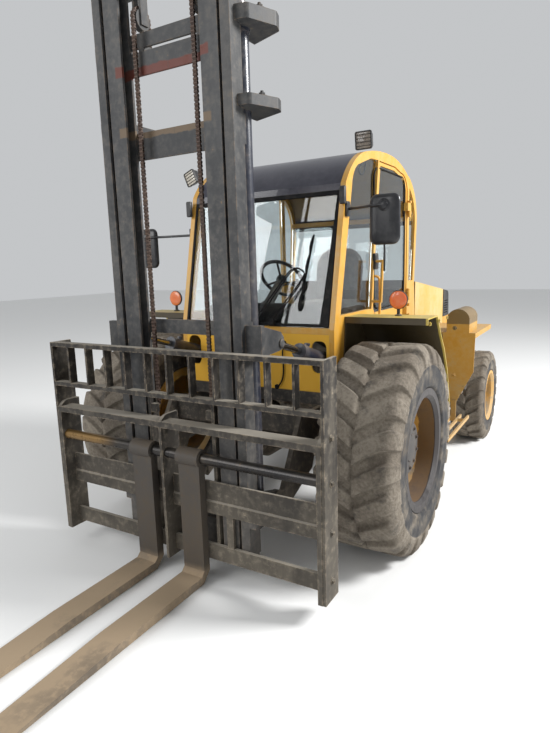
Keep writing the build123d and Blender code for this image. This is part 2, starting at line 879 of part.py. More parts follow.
# Carriage: end plates with rounded tops, flat top bar, ledge beam, bottom beam, centre plate
fork_clear = shank_front - shank_thick - 5
beam_front = -fork_clear
end_round = 60
centre_x = -70
beam_back = rail_front - move_gap
with BuildPart() as carriage:
    for plate_x, plate_wall in ((carriage_half - end_wall, end_wall), (-carriage_half, end_wall), (centre_x - 8, 16)):
        with BuildSketch(side(plate_x)):
            with BuildLine():
                Polyline(
                    (carriage_back, carriage_bottom),
                    (carriage_back, carriage_top),
                    (carriage_front + end_round, carriage_top),
                )
                RadiusArc(
                    (carriage_front + end_round, carriage_top),
                    (carriage_front, carriage_top - end_round),
                    -end_round,
                )
                Polyline(
                    (carriage_front, carriage_top - end_round),
                    (carriage_front, carriage_bottom),
                    (carriage_back, carriage_bottom),
                )
            make_face()
            with Locations((shaft_y, shaft_z)):
                Circle(shaft_radius + seat_gap, mode=Mode.SUBTRACT)
        extrude(amount=plate_wall)
    bars = [
        # outline in (y, z)
        [(carriage_front, 866), (beam_back, 866), (beam_back, 900), (carriage_front, 900)],
        [
            (beam_front, 400),
            (beam_front, 466),
            (beam_front + 8, 474),
            (beam_front + 8, 580),
            (beam_back, 580),
            (beam_back, 400),
        ],
        [(beam_front, 130), (beam_front, 220), (beam_back, 220), (beam_back, 130)],
    ]
    for points in bars:
        extrude(outline(side(-carriage_half + 1), *points), amount=2 * carriage_half - 2)
    # Roller plates that run between the inner rails
    for way in (-1, 1):
        plate_near = roller_plate_x if way > 0 else -roller_plate_x - roller_plate_wall
        plate_front = shaft_y + collar_radius + move_gap
        extrude(
            block(side(plate_near), (plate_front, 200), (guide_y + 18, 1010)), amount=roller_plate_wall
        )
        for low, high in ((200, 220), (400, 580), (866, 900)):
            tab = block(side(plate_near), (beam_back - 2, low), (plate_front + 1, high))
            extrude(tab, amount=roller_plate_wall)
        for roller_z in (270, 940):
            roller_near = inner_in + 4 if way > 0 else -web_in + 5
            extrude(
                disc(side(roller_near), (guide_y, roller_z), inner_gap_half - slide_gap),
                amount=web_in - inner_in - 9,
            )
            pin_near = roller_plate_x + 2 if way > 0 else -inner_in - 8
            extrude(disc(side(pin_near), (guide_y, roller_z), 14), amount=inner_in + 8 - roller_plate_x - 2)
        # Chain anchor in front of the strand
        lug_near = sheave_x - 15 if way > 0 else -roller_plate_x - 1
        extrude(
            block(side(lug_near), (beam_back + 8, 915), (sheave_y - sheave_radius - chain_depth / 2 - move_gap, 965)),
            amount=roller_plate_x + 1 - sheave_x + 15,
        )
    # Upright struts between the beams
    for strut_x in (-340, 300):
        extrude(block(side(strut_x), (beam_front + 2, 215), (beam_back, 405)), amount=40)
save(carriage, "carriage")

with BuildPart() as fork_shaft:
    extrude(disc(side(-carriage_half), (shaft_y, shaft_z), shaft_radius), amount=2 * carriage_half)
save(fork_shaft, "fork_shaft")

# Load backrest: end uprights outside the end plates, two rails and thin flat bars
with BuildPart() as backrest:
    upright_wall = backrest_half - carriage_half - seat_gap
    extrude(
        block(side(carriage_half + seat_gap), (carriage_front + 3, carriage_bottom), (carriage_back, backrest_top)),
        amount=upright_wall,
    )
    mirror(about=Plane.YZ)
    reach = carriage_half + seat_gap + 1
    for low, high in ((backrest_top - 25, backrest_top), (backrest_rail - 25, backrest_rail)):
        extrude(
            block(side(-reach), (carriage_front + 3, low), (carriage_front + 3 + bar_depth, high)),
            amount=2 * reach,
        )
    for bar in range(backrest_bars):
        x = (bar - (backrest_bars - 1) / 2) * backrest_pitch
        extrude(
            block(
                side(x - backrest_bar / 2),
                (carriage_front + 3, backrest_rail - 5),
                (carriage_front + 3 + bar_depth, backrest_top - 5),
            ),
            amount=backrest_bar,
        )
save(backrest, "backrest")

# Forks: bent and tapered, with a collar round the shaft
shank_face = -shank_front
for name, fork_x in (("fork_left", fork_left_x), ("fork_right", fork_right_x)):
    with BuildPart() as fork:
        with BuildSketch(side(fork_x - fork_width / 2)):
            with BuildLine():
                Polyline(
                    (shank_face + shank_thick, shaft_z),
                    (shank_face + shank_thick, blade_low + 60),
                    (shank_face + shank_thick - 60, blade_low),
                    (shank_face - blade_length, blade_low),
                    (shank_face - blade_length, blade_low + blade_tip),
                    (shank_face - blade_length / 2, blade_low + blade_thick),
                    (shank_face - 25, blade_low + blade_thick),
                    (shank_face, blade_low + blade_thick + 25),
                    (shank_face, shaft_z),
                    close=True,
                )
            make_face()
        extrude(amount=fork_width)
        extrude(disc(side(fork_x - fork_width / 2 - 4), (shaft_y, shaft_z), collar_radius), amount=fork_width + 8)
        extrude(
            disc(side(fork_x - fork_width / 2 - 4), (shaft_y, shaft_z), shaft_radius + run_fit),
            amount=fork_width + 8,
            mode=Mode.SUBTRACT,
        )
    save(fork, name)

# Tilt cylinders: barrel hinged on the frame, rod with an eye round the mast pin
tilt_span = hypot(tilt_pin_y - tilt_anchor_y, tilt_pin_z - tilt_anchor_z)
along = ((tilt_pin_y - tilt_anchor_y) / tilt_span, (tilt_pin_z - tilt_anchor_z) / tilt_span)


def tilt_axis_plane(distance):
    """Plane square to the tilt cylinder, at a distance from its anchor pin towards the mast."""
    centre = (tilt_x, axle_y + tilt_anchor_y + along[0] * distance, tilt_anchor_z + along[1] * distance)
    return Plane(origin=centre, x_dir=(1, 0, 0), z_dir=(0, along[0], along[1]))


tilt_eye_bore = tilt_pin_radius + 8
with BuildPart() as tilt_barrel_left:
    with BuildSketch(tilt_axis_plane(45)):
        Circle(tilt_barrel_radius)
    extrude(amount=tilt_barrel_length - 45)
    with BuildSketch(tilt_axis_plane(tilt_barrel_length - 60)):
        Circle(tilt_barrel_radius + 6)
    extrude(amount=60)
    extrude(disc(side(tilt_x - 25), (tilt_anchor_y, tilt_anchor_z), 32), amount=50)
    with BuildSketch(tilt_axis_plane(20)):
        Rectangle(50, 50)
    extrude(amount=40)
    extrude(
        disc(side(tilt_x - 26), (tilt_anchor_y, tilt_anchor_z), tilt_pin_radius + run_fit),
        amount=52,
        mode=Mode.SUBTRACT,
    )
    with BuildSketch(tilt_axis_plane(60)):
        Circle(tilt_rod_radius + run_fit)
    extrude(amount=tilt_barrel_length, mode=Mode.SUBTRACT)
save(tilt_barrel_left, "tilt_barrel_left")
with BuildPart() as tilt_barrel_right:
    add(mirror(tilt_barrel_left.part, about=Plane.YZ, mode=Mode.PRIVATE))
save(tilt_barrel_right, "tilt_barrel_right")
with BuildPart() as tilt_rod_left:
    with BuildSketch(tilt_axis_plane(tilt_barrel_length - 340)):
        Circle(tilt_rod_radius)
    extrude(amount=tilt_span - 28 - tilt_barrel_length + 340)
    extrude(disc(side(tilt_x - 20), (tilt_pin_y, tilt_pin_z), tilt_eye_bore + 14), amount=40)
    extrude(
        disc(side(tilt_x - 21), (tilt_pin_y, tilt_pin_z), tilt_eye_bore), amount=42, mode=Mode.SUBTRACT
    )
save(tilt_rod_left, "tilt_rod_left")
with BuildPart() as tilt_rod_right:
    add(mirror(tilt_rod_left.part, about=Plane.YZ, mode=Mode.PRIVATE))
save(tilt_rod_right, "tilt_rod_right")

# Cab: two pressed sides, each an A post, a roof arch, a slim B post, a door post and a rear hoop
cab_in = cab_half - cab_wall
arch_points = [
    # y, z, inward share along y, inward share upwards
    (95, 2190, 1, 0),
    (200, 2308, 0.65, -0.76),
    (400, 2410, 0.2, -1),
    (650, 2450, 0, -1),
    (924, 2459, 0, -1),
    (1120, 2432, -0.2, -1),
    (1302, 2371, -0.35, -0.94),
    (1502, 2228, -0.8, -0.6),
    (1559, 2008, -1, 0),
]
post_top = arch_points[0][:2]
hip = arch_points[-1][:2]
tail = (1511, 1533)
sill_low = 1290
sill_top = 1330
post_lean = (post_top[0] - cab_front) / (post_top[1] - cowl_top)
window_foot = 1400
b_post_foot = 521
b_post_mid = (565, 1804)
b_post_head = (648, 2392)
b_post_wall = 22
rear_head = 2040
leaf_foot = 1340


def post_y(z):
    """Front edge of the A post at a height."""
    return cab_front + post_lean * (z - cowl_top)


def arch_line(inset):
    """The cab's outline over the roof, from the A post's top to the rear hoop, drawn inwards by an inset."""
    points = [(y + inset * in_y, z + inset * in_z) for y, z, in_y, in_z in arch_points]
    for first in range(0, len(points) - 2, 2):
        ThreePointArc(*points[first : first + 3])


def quarter_loop(inset):
    """The quarter window between the A post and the B post, drawn inwards by an inset."""
    low = window_foot + inset
    Polyline((inset, low), (188 + inset, 2180))
    ThreePointArc((188 + inset, 2180), (222 + 0.8 * inset, 2266 - 0.6 * inset), (300, 2322 - inset))
    Polyline(
        (300, 2322 - inset),
        (513, 2385 - inset),
        (b_post_head[0] - 1.3 * inset, b_post_head[1] - inset),
        (b_post_mid[0] - inset, b_post_mid[1]),
        (b_post_foot - inset, low),
        (inset, low),
    )


def door_loop(inset, low=sill_z - move_gap):
    """The door opening behind the B post, drawn inwards by an inset."""
    back = door_back + move_gap - inset
    foot = low + inset
    head = (1150 - 0.3 * inset, 2370 - inset)
    Polyline((back, foot), (back, 2255))
    ThreePointArc((back, 2255), (1262 - 0.7 * inset, 2330 - 0.7 * inset), head)
    Polyline(
        head,
        (1000, 2395 - inset),
        (b_post_head[0] + b_post_wall + 1.2 * inset, b_post_head[1] - inset),
        (b_post_mid[0] + b_post_wall + inset, b_post_mid[1]),
        (b_post_foot + b_post_wall + inset, window_foot),
    )
    Polyline(
        (b_post_foot + b_post_wall + inset, window_foot),
        (door_front_low - move_gap + inset, foot),
        (back, foot),
    )


def rear_loop(inset):
    """The narrow window between the door post and the rear hoop, drawn inwards by an inset."""
    front_y = door_back + move_gap + post_wall + inset
    low = rear_sill + inset
    Polyline((1466 - inset, low), (front_y, low), (front_y, 2280 - 1.2 * inset))
    ThreePointArc((front_y, 2280 - 1.2 * inset), (1455 - 0.8 * inset, 2195 - 0.6 * inset), (1509 - inset, 2008))
    Line((1509 - inset, 2008), (1466 - inset, low))


hinge_x = cab_half + 16
hinge_y = door_back + move_gap
hinge_radius = 10
hinge_pin = 5
hinge_zs = (1330, 2130)
hinge_half = 30
lug_wall = 19
grip_x = cab_half + 63
grip_radius = 9
grip_low = (537, 1450)
grip_high = (567, 1720)
with BuildPart() as cab_frame:
    with BuildSketch(side(cab_in)):
        with BuildLine():
            arch_line(0)
            Polyline(
                hip,
                tail,
                (cab_back, 1300),
                (cab_back, cab_floor_z),
                (cab_front, cab_floor_z),
                (cab_front, cowl_top),
                post_top,
            )
        make_face()
        for loop in (quarter_loop, door_loop, rear_loop):
            with BuildLine():
                loop(0)
            make_face(mode=Mode.SUBTRACT)
    extrude(amount=cab_wall)
    mirror(about=Plane.YZ)
    # Door hinge pins on lugs behind the left opening
    for hinge_z in hinge_zs:
        pin_foot = hinge_z - hinge_half - lug_wall - 1
        extrude(
            disc(level(pin_foot), (hinge_x, hinge_y), hinge_pin), amount=2 * (hinge_half + lug_wall + 1)
        )
        for lug_z in (pin_foot, hinge_z + hinge_half + 1):
            lug = block(
                level(lug_z), (cab_half - 1, hinge_y - hinge_pin), (hinge_x + hinge_radius, hinge_y + 24)
            )
            extrude(lug, amount=lug_wall)
    # Grab handle on the left B post
    for grip_end in (grip_low, grip_high):
        extrude(disc(side(cab_half - 1), grip_end, grip_radius), amount=grip_x - cab_half + 1)
    grip_rise = (grip_high[0] - grip_low[0], grip_high[1] - grip_low[1])
    grip_plane = Plane(
        origin=(grip_x, axle_y + grip_low[0], grip_low[1]), x_dir=(1, 0, 0), z_dir=(0, *grip_rise)
    ).offset(-grip_radius)
    with BuildSketch(grip_plane):
        Circle(grip_radius + 1)
    extrude(amount=hypot(*grip_rise) + 2 * grip_radius)
    # Cross members: windscreen header and sill, roof rear header
    members = [
        # near y, far y, low z, high z
        (post_y(header_low + header_depth) + 24, 160, header_low, header_low + header_depth),
        (cab_front, cab_front + 40, sill_low, sill_top),
        (1470, 1525, rear_head, rear_head + 35),
    ]
    for near, far, low, high in members:
        extrude(block(side(-cab_in - 1), (near, low), (far, high)), amount=2 * cab_in + 2)
save(cab_frame, "cab_frame")

# Cab tub: front cowl plate, floor, tilt cylinder covers and rear bulkhead
cover_inner = 410
cover_back = 340
cowl_wall = 10
cut_z = 1150
with BuildPart() as cab_tub:
    with BuildSketch(front(cab_front + cowl_wall)):
        with Locations((0, (cowl_bottom + sill_low) / 2)):
            Rectangle(2 * cab_in - 1, sill_low - cowl_bottom - 1)
        for way in (-1, 1):
            with Locations((way * tilt_x, cut_z)):
                RectangleRounded(100, 200, 40, mode=Mode.SUBTRACT)
    extrude(amount=cowl_wall)
    floor_z = cab_floor_z - floor_wall
    floors = [
        # half width, near y, far y
        (cab_in - 1, cover_back - 20, bulkhead_y + cowl_wall),
        (cover_inner, cab_front + cowl_wall, cover_back - 19),
    ]
    for half, near, far in floors:
        extrude(block(level(floor_z), (-half, near), (half, far)), amount=floor_wall)
    for way in (-1, 1):
        near = cover_inner if way > 0 else -cab_in + 1
        extrude(
            outline(
                side(near),
                (cab_front + cowl_wall, 1280),
                (cab_front + 24, 1280),
                (cover_back, 1110),
                (cover_back, floor_z),
                (cover_back - 20, floor_z),
                (cover_back - 20, 1104),
                (cab_front + cowl_wall, 1264),
            ),
            amount=cab_in - cover_inner - 1,
        )
    bulkhead = block(side(-cab_in + 1), (bulkhead_y, floor_z), (bulkhead_y + cowl_wall, rear_sill))
    extrude(bulkhead, amount=2 * cab_in - 2)
save(cab_tub, "cab_tub")

# Cab roof: one curved skin between the sides, from the windscreen's top edge to the rear header
skin_out = 2
skin_in = skin_out + roof_wall
with BuildPart() as cab_roof:
    with BuildSketch(side(-cab_in + seat_gap)):
        with BuildLine():
            arch_line(skin_out)
            Line((hip[0] - skin_out, hip[1]), (hip[0] - skin_in, hip[1]))
            arch_line(skin_in)
            Polyline(
                (post_top[0] + skin_in, post_top[1]),
                (post_y(header_low) + skin_in, header_low),
                (post_y(header_low) + skin_out, header_low),
                (post_top[0] + skin_out, post_top[1]),
            )
        make_face()
    extrude(amount=2 * (cab_in - seat_gap))
save(cab_roof, "cab_roof")

# Glass: windscreen, side windows and rear window
pane_x = cab_half - 26
screen_inset = 8
screens = [
    # foot y, foot z, head y, head z
    (post_y(sill_top) + screen_inset, sill_top, post_y(header_low) + screen_inset, header_low),
    (bulkhead_y + 1, rear_sill, 1512, rear_head),
]
with BuildPart() as cab_glass:
    for foot_y, foot_z, head_y, head_z in screens:
        extrude(
            outline(
                side(-cab_in + seat_gap),
                (foot_y, foot_z + seat_gap),
                (foot_y + glass_wall, foot_z + seat_gap),
                (head_y + glass_wall, head_z - seat_gap),
                (head_y, head_z - seat_gap),
            ),
            amount=2 * (cab_in - seat_gap),
        )
    side_panes = [
        # near x, window
        (pane_x, quarter_loop),
        (pane_x, rear_loop),
        (-pane_x - glass_wall, quarter_loop),
        (-pane_x - glass_wall, rear_loop),
        (-pane_x - glass_wall, door_loop),
    ]
    for near, loop in side_panes:
        with BuildSketch(side(near)):
            with BuildLine():
                loop(seat_gap)
            make_face()
        extrude(amount=glass_wall)
save(cab_glass, "cab_glass")

# Door: slim framed leaf inside the left opening, with hinge straps behind
leaf_wall = cab_wall - 14
leaf_near = cab_in + 8
with BuildPart() as cab_door:
    with BuildSketch(side(leaf_near)):
        with BuildLine():
            door_loop(move_gap)
        make_face()
        with BuildLine():
            door_loop(move_gap + door_rail, low=leaf_foot)
        make_face(mode=Mode.SUBTRACT)
    extrude(amount=leaf_wall)
    for hinge_z in hinge_zs:
        strap = block(
            level(hinge_z - hinge_half),
            (leaf_near + leaf_wall - 1, hinge_y - 70),
            (hinge_x + hinge_radius, hinge_y),
        )
        extrude(strap, amount=2 * hinge_half)
        extrude(disc(level(hinge_z - hinge_half), (hinge_x, hinge_y), hinge_radius), amount=2 * hinge_half)
        extrude(
            disc(level(hinge_z - hinge_half), (hinge_x, hinge_y), hinge_pin + run_fit),
            amount=2 * hinge_half,
            mode=Mode.SUBTRACT,
        )
save(cab_door, "cab_door")
with BuildPart() as door_glass:
    with BuildSketch(side(leaf_near + (leaf_wall - glass_wall) / 2)):
        with BuildLine():
            door_loop(move_gap + door_rail + 2 * seat_gap, low=leaf_foot)
        make_face()
    extrude(amount=glass_wall)
save(door_glass, "door_glass")

# Seat and steering column
wheel_y = 312
wheel_z = 1618
wheel_outer = 160
wheel_axis = (0, 0.77, 0.64)
wheel_rim = 26
with BuildPart() as seat:
    extrude(block(level(cab_floor_z), (-190, 900), (190, 1280)), amount=300)
    extrude(block(level(cab_floor_z + 300), (-245, 840), (245, 1310)), amount=110)
    extrude(
        outline(
            side(-235),
            (1210, cab_floor_z + 400),
            (1310, cab_floor_z + 400),
            (1380, cab_floor_z + 900),
            (1290, cab_floor_z + 920),
        ),
        amount=470,
    )
save(seat, "seat")
with BuildPart() as steering_column:
    extrude(
        outline(
            side(-60),
            (40, cab_floor_z),
            (180, cab_floor_z),
            (wheel_y + 5, wheel_z - 60),
            (wheel_y - 45, wheel_z - 40),
            (90, 1420),
        ),
        amount=120,
    )
    wheel_plane = Plane(origin=(0, axle_y + wheel_y, wheel_z), x_dir=(1, 0, 0), z_dir=wheel_axis)
    with BuildSketch(wheel_plane):
        Circle(wheel_outer)
        Circle(wheel_outer - wheel_rim, mode=Mode.SUBTRACT)
        Rectangle(2 * wheel_outer - wheel_rim, wheel_rim)
        Circle(45)
    extrude(amount=wheel_rim)
    with BuildSketch(wheel_plane):
        Circle(22)
    extrude(amount=-60)
save(steering_column, "steering_column")

# Front fenders: folded sheet over each drive wheel, with a front lip and an inner wheel-well wall
fender_line = [
    (fender_front, fender_top - fender_drop),
    (fender_front, fender_top),
    (275, fender_top),
    (351, 1283),
    (467, 1152),
    (556, 1011),
    (621, 841),
    (660, 740),
]
well_foot = frame_top + 8
with BuildPart() as front_fenders:
    extrude(sheet(side(fender_inner), sheet_wall, *fender_line), amount=fender_outer - fender_inner)
    with BuildSketch(side(fender_inner)):
        with BuildLine():
            under = [(y - 4, z - 4) for y, z in fender_line[2:-2]]
            Polyline((fender_front, fender_top - 4), *under, (610, well_foot), (-60, well_foot))
            ThreePointArc((-60, well_foot), (35, 1130), (fender_front, fender_top - 4))
        make_face()
    extrude(amount=sheet_wall)
    mirror(about=Plane.YZ)
save(front_fenders, "front_fenders")

# Side decks: deck plate, front panel, outer flange and hanging step tray
panel_inner = tank_outer - 56
tread_xs = (970, 1028, 1086)
tread_wall = 14
tread_deep = 25
hangers = [
    # near y, top z
    (fender_line[-1][0] + seat_gap, 760),
    (deck_front - 6, 645),
]
with BuildPart() as side_decks:
    extrude(
        block(level(deck_z - sheet_wall), (fender_inner, deck_front), (deck_outer, deck_back)),
        amount=sheet_wall,
    )
    extrude(
        block(level(deck_z - deck_lip), (deck_outer - sheet_wall, deck_front), (deck_outer, deck_back)),
        amount=deck_lip,
    )
    panel = outline(
        front(deck_front + sheet_wall),
        (panel_inner, deck_z),
        (deck_outer, deck_z),
        (deck_outer - 6, 873),
        (1025, 632),
        (972, 626),
    )
    extrude(panel, amount=sheet_wall)
    for tread_x in tread_xs:
        extrude(block(side(tread_x), (step_front, step_z - tread_deep), (step_back, step_z)), amount=tread_wall)
    for hanger_y, hanger_top in hangers:
        low = step_z - tread_deep
        extrude(
            block(level(low), (tread_xs[0], hanger_y), (tread_xs[-1] + tread_wall, hanger_y + sheet_wall)),
            amount=tread_deep,
        )
        extrude(
            block(level(low), (985, hanger_y), (1025, hanger_y + sheet_wall)), amount=hanger_top - low
        )
    mirror(about=Plane.YZ)
    # Round-topped service box on the left deck
    with BuildSketch(front(deck_front + 300)):
        with BuildLine():
            Polyline((937, 1280), (937, deck_z - 1), (1104, deck_z - 1), (1104, 1280))
            ThreePointArc((1104, 1280), (1020.5, 1348), (937, 1280))
        make_face()
    extrude(amount=300)
save(side_decks, "side_decks")

# Tanks under the decks
with BuildPart() as tanks:
    with BuildSketch(front(tank_back)):
        with Locations(((tank_inner + tank_outer) / 2, (tank_bottom + deck_z - sheet_wall) / 2)):
            RectangleRounded(tank_outer - tank_inner, deck_z - sheet_wall - tank_bottom - 2 * seat_gap, 50)
    extrude(amount=tank_back - tank_front)
    mirror(about=Plane.YZ)
save(tanks, "tanks")

# Engine hood: hollow lid open to the rear, hinged along its rear top edge
hood_barrel = 11
with BuildPart() as hood:
    extrude(
        outline(
            side(-body_half),
            (hood_front, hood_bottom),
            (hood_back, hood_bottom),
            (hood_back, hood_back_top),
            (hood_front, hood_front_top),
        ),
        amount=2 * body_half,
    )
    extrude(
        outline(
            side(-body_half + hood_wall),
            (hood_front + hood_wall, hood_bottom - 1),
            (hood_back + 1, hood_bottom - 1),
            (hood_back + 1, hood_back_top - hood_wall),
            (hood_front + hood_wall, hood_front_top - hood_wall),
        ),
        amount=2 * (body_half - hood_wall),
        mode=Mode.SUBTRACT,
    )
    # Hinge leaves and barrels between the shroud's lugs
    for leaf_x in (363, -397):
        leaf = block(side(leaf_x), (hood_back - 30, hood_back_top - 5), (hood_pin_y, hood_pin_z))
        extrude(leaf, amount=34)
        extrude(disc(side(leaf_x), (hood_pin_y, hood_pin_z), hood_barrel), amount=34)
        extrude(
            disc(side(leaf_x - 1), (hood_pin_y, hood_pin_z), hood_pin + run_fit),
            amount=36,
            mode=Mode.SUBTRACT,
        )
save(hood, "hood")

# Engine bay sides under the hood
with BuildPart() as bay_sides:
    bay_foot = frame_top - 40
    extrude(
        block(side(body_half - hood_wall), (hood_front, bay_foot), (weight_front - 1, hood_bottom - seat_gap)),
        amount=hood_wall,
    )
    extrude(
        block(side(frame_x), (hood_front, bay_foot), (weight_front - 1, bay_foot + hood_wall)),
        amount=body_half - frame_x,
    )
    mirror(about=Plane.YZ)
save(bay_sides, "bay_sides")

# Lamps: work lamps by the arch, marker lamps on the A posts, round lamps on the fenders
work_lamps = [
    # low x, high x, face y, low z, height
    (512, 624, 470, 2429, 112),
    (-700, -588, 220, 2285, 122),
]
lamp_deep = 70
amber_x = 880
amber_y = 215
amber_z = 1485
amber_radius = 58
marker_z = 2061
marker_high = 105
with BuildPart() as lamps:
    for marker_x in (562, -601):
        extrude(
            outline(
                side(marker_x),
                (post_y(marker_z) - 30, marker_z),
                (post_y(marker_z) - seat_gap, marker_z),
                (post_y(marker_z + marker_high) - seat_gap, marker_z + marker_high),
                (post_y(marker_z + marker_high) - 30, marker_z + marker_high),
            ),
            amount=39,
        )
    for low_x, high_x, face_y, low_z, high in work_lamps:
        extrude(block(front(face_y), (low_x, low_z), (high_x, low_z + high)), amount=lamp_deep)
    extrude(block(front(450), (550, 2421), (580, 2435)), amount=20)
    extrude(block(side(-cab_half - seat_gap - 6), (190, 2240), (235, 2300)), amount=6)
    for way in (-1, 1):
        extrude(disc(front(amber_y), (way * amber_x, amber_z), amber_radius), amount=34)
        stalk = block(
            front(amber_y - 8), (way * amber_x - 15, fender_top + seat_gap), (way * amber_x + 15, amber_z)
        )
        extrude(stalk, amount=18)
save(lamps, "lamps")

# Mirrors: arm from the A post, a rounded head and a rod below it
mirror_y = 66
mirror_deep = 36
mirror_heads = [
    # side, head x, head z, arm y, arm z
    (1, 841, 1956, 100, 2035),
    (-1, 990, 1860, 76, 1939),
]
with BuildPart() as mirrors:
    for way, head_x, head_z, arm_y, arm_z in mirror_heads:
        arm_start = fender_inner if way > 0 else -head_x
        extrude(disc(side(arm_start), (arm_y, arm_z), 9), amount=head_x - fender_inner)
        with BuildSketch(front(mirror_y)):
            with Locations((way * head_x, head_z)):
                RectangleRounded(181, 285, 40)
        extrude(amount=mirror_deep)
        extrude(
            block(front(arm_y + 8), (way * head_x - 20, arm_z - 25), (way * head_x + 20, arm_z + 15)),
            amount=arm_y + 9 - mirror_y,
        )
        extrude(
            disc(level(head_z - 294), (way * (head_x + 22), mirror_y - mirror_deep / 2), 6), amount=160
        )
save(mirrors, "mirrors")
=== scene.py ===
import math

import bmesh
import bpy
from mathutils import Matrix, Vector, noise as texture_noise


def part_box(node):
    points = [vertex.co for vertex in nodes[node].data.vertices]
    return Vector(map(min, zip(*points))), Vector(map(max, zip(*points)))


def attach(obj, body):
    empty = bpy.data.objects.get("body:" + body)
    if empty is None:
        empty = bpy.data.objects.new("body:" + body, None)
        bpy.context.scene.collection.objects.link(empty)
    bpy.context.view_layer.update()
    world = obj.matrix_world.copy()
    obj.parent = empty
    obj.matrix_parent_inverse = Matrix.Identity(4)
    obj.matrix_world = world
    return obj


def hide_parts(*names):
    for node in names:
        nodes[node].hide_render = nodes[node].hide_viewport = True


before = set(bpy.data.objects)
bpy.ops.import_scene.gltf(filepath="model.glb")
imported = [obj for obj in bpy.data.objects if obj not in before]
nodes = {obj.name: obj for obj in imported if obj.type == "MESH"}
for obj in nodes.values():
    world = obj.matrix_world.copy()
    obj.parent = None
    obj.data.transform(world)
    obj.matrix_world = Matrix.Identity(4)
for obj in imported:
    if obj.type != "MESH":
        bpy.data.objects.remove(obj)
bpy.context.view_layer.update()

link = bpy.context.collection.objects.link


# Tyres. Lugged off-road drive and steer tyres: moulded rubber with two staggered rows of slanted
# bars that run over the shoulders, their edges worn round, grey with dried mud and dark where it fell off.
class Maker:
    """Adds nodes to one tree; an input's value is a plain value or a socket to link."""

    def __init__(self, tree):
        self.tree = tree

    def fill(self, node, inputs):
        """Sets or links a node's inputs, keyed by name or number."""
        for name, value in inputs.items():
            if isinstance(value, bpy.types.NodeSocket):
                self.tree.links.new(value, node.inputs[name])
            else:
                node.inputs[name].default_value = value

    def put(self, kind, inputs=None, **settings):
        """A new node."""
        made = self.tree.nodes.new(kind)
        for name, value in settings.items():
            setattr(made, name, value)
        self.fill(made, inputs or {})
        return made

    def out(self, kind, inputs=None, socket=0, **settings):
        """One output of a new node."""
        return self.put(kind, inputs, **settings).outputs[socket]

    def maths(self, operation, first, second=0.5, clamp=False):
        """One Math node."""
        return self.out("ShaderNodeMath", {0: first, 1: second}, operation=operation, use_clamp=clamp)

    def times(self, first, *others, clamp=False):
        """The product of values."""
        for value in others:
            first = self.maths("MULTIPLY", first, value, clamp)
        return first

    def plus(self, first, *others, clamp=False):
        """The sum of values."""
        for value in others:
            first = self.maths("ADD", first, value, clamp)
        return first

    def noise(self, where, scale, detail=4.0, rough=0.55):
        """A noise value around 0.5 on the given coordinates."""
        values = {"Vector": where, "Scale": scale, "Detail": detail, "Roughness": rough}
        return self.out("ShaderNodeTexNoise", values)

    def span(self, value, low, high, start=0.0, end=1.0):
        """Maps low..high smoothly onto start..end and holds it there."""
        values = {"Value": value, "From Min": low, "From Max": high, "To Min": start, "To Max": end}
        return self.out("ShaderNodeMapRange", values, interpolation_type="SMOOTHSTEP")

    def blend(self, share, first, second):
        """Mixes two colours by a share."""
        values = {"Factor": share, 6: first, 7: second}
        return self.out("ShaderNodeMix", values, 2, data_type="RGBA", clamp_factor=True)

    def where(self):
        """Object coordinates."""
        return self.out("ShaderNodeTexCoord", None, "Object")

    def facing(self):
        """The surface's direction."""
        return self.out("ShaderNodeNewGeometry", None, "Normal")

    def part(self, vector, axis):
        """One number of a vector."""
        return self.out("ShaderNodeSeparateXYZ", {0: vector}, axis)


COLOUR, NUMBER = "NodeSocketColor", "NodeSocketFloat"


def group(name, kind, inputs, outputs):
    """A node group with named sockets; returns its maker, its input sockets and its output node."""
    tree = bpy.data.node_groups.new(name, kind)
    for label, socket, value in inputs:
        made = tree.interface.new_socket(label, in_out="INPUT", socket_type=socket)
        if value is not None:
            made.default_value = value
    for label, socket in outputs:
        tree.interface.new_socket(label, in_out="OUTPUT", socket_type=socket)
    return Maker(tree), tree.nodes.new("NodeGroupInput").outputs, tree.nodes.new("NodeGroupOutput")


def shader_group(name, inputs):
    """A node group that gives a surface's colour, roughness and height."""
    outputs = [("Color", COLOUR), ("Roughness", NUMBER), ("Height", NUMBER)]
    return group(name, "ShaderNodeTree", inputs, outputs)


def material(name, effects, values, metallic=0.0, bump=0.3, depth=0.002, coat=0.0, specular=0.5):
    """A Principled material whose colour, roughness and height come from one of the effect groups."""
    made = bpy.data.materials.new(name)
    made.use_nodes = True
    make = Maker(made.node_tree)
    effect = make.put("ShaderNodeGroup", values, node_tree=effects.tree).outputs
    height = {"Strength": bump, "Distance": depth, "Height": effect["Height"]}
    looks = {
        "Base Color": effect["Color"], "Roughness": effect["Roughness"],
        "Normal": make.out("ShaderNodeBump", height),
        "Metallic": metallic, "Coat Weight": coat, "Specular IOR Level": specular,
    }
    make.fill(made.node_tree.nodes["Principled BSDF"], looks)
    return made


def paint(finish, *names):
    """Gives CAD nodes a material."""
    for name in names:
        for place in nodes[name].material_slots:
            place.material = finish


def made_piece(name, mesh, finish, body, smooth=True):
    """Makes an object of a finished mesh: material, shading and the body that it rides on."""
    piece = bpy.data.objects.new(name, mesh)
    link(piece)
    if finish is not None:
        mesh.materials.clear()
        mesh.materials.append(finish)
    mesh.polygons.foreach_set("use_smooth", [smooth] * len(mesh.polygons))
    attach(piece, body)
    return piece


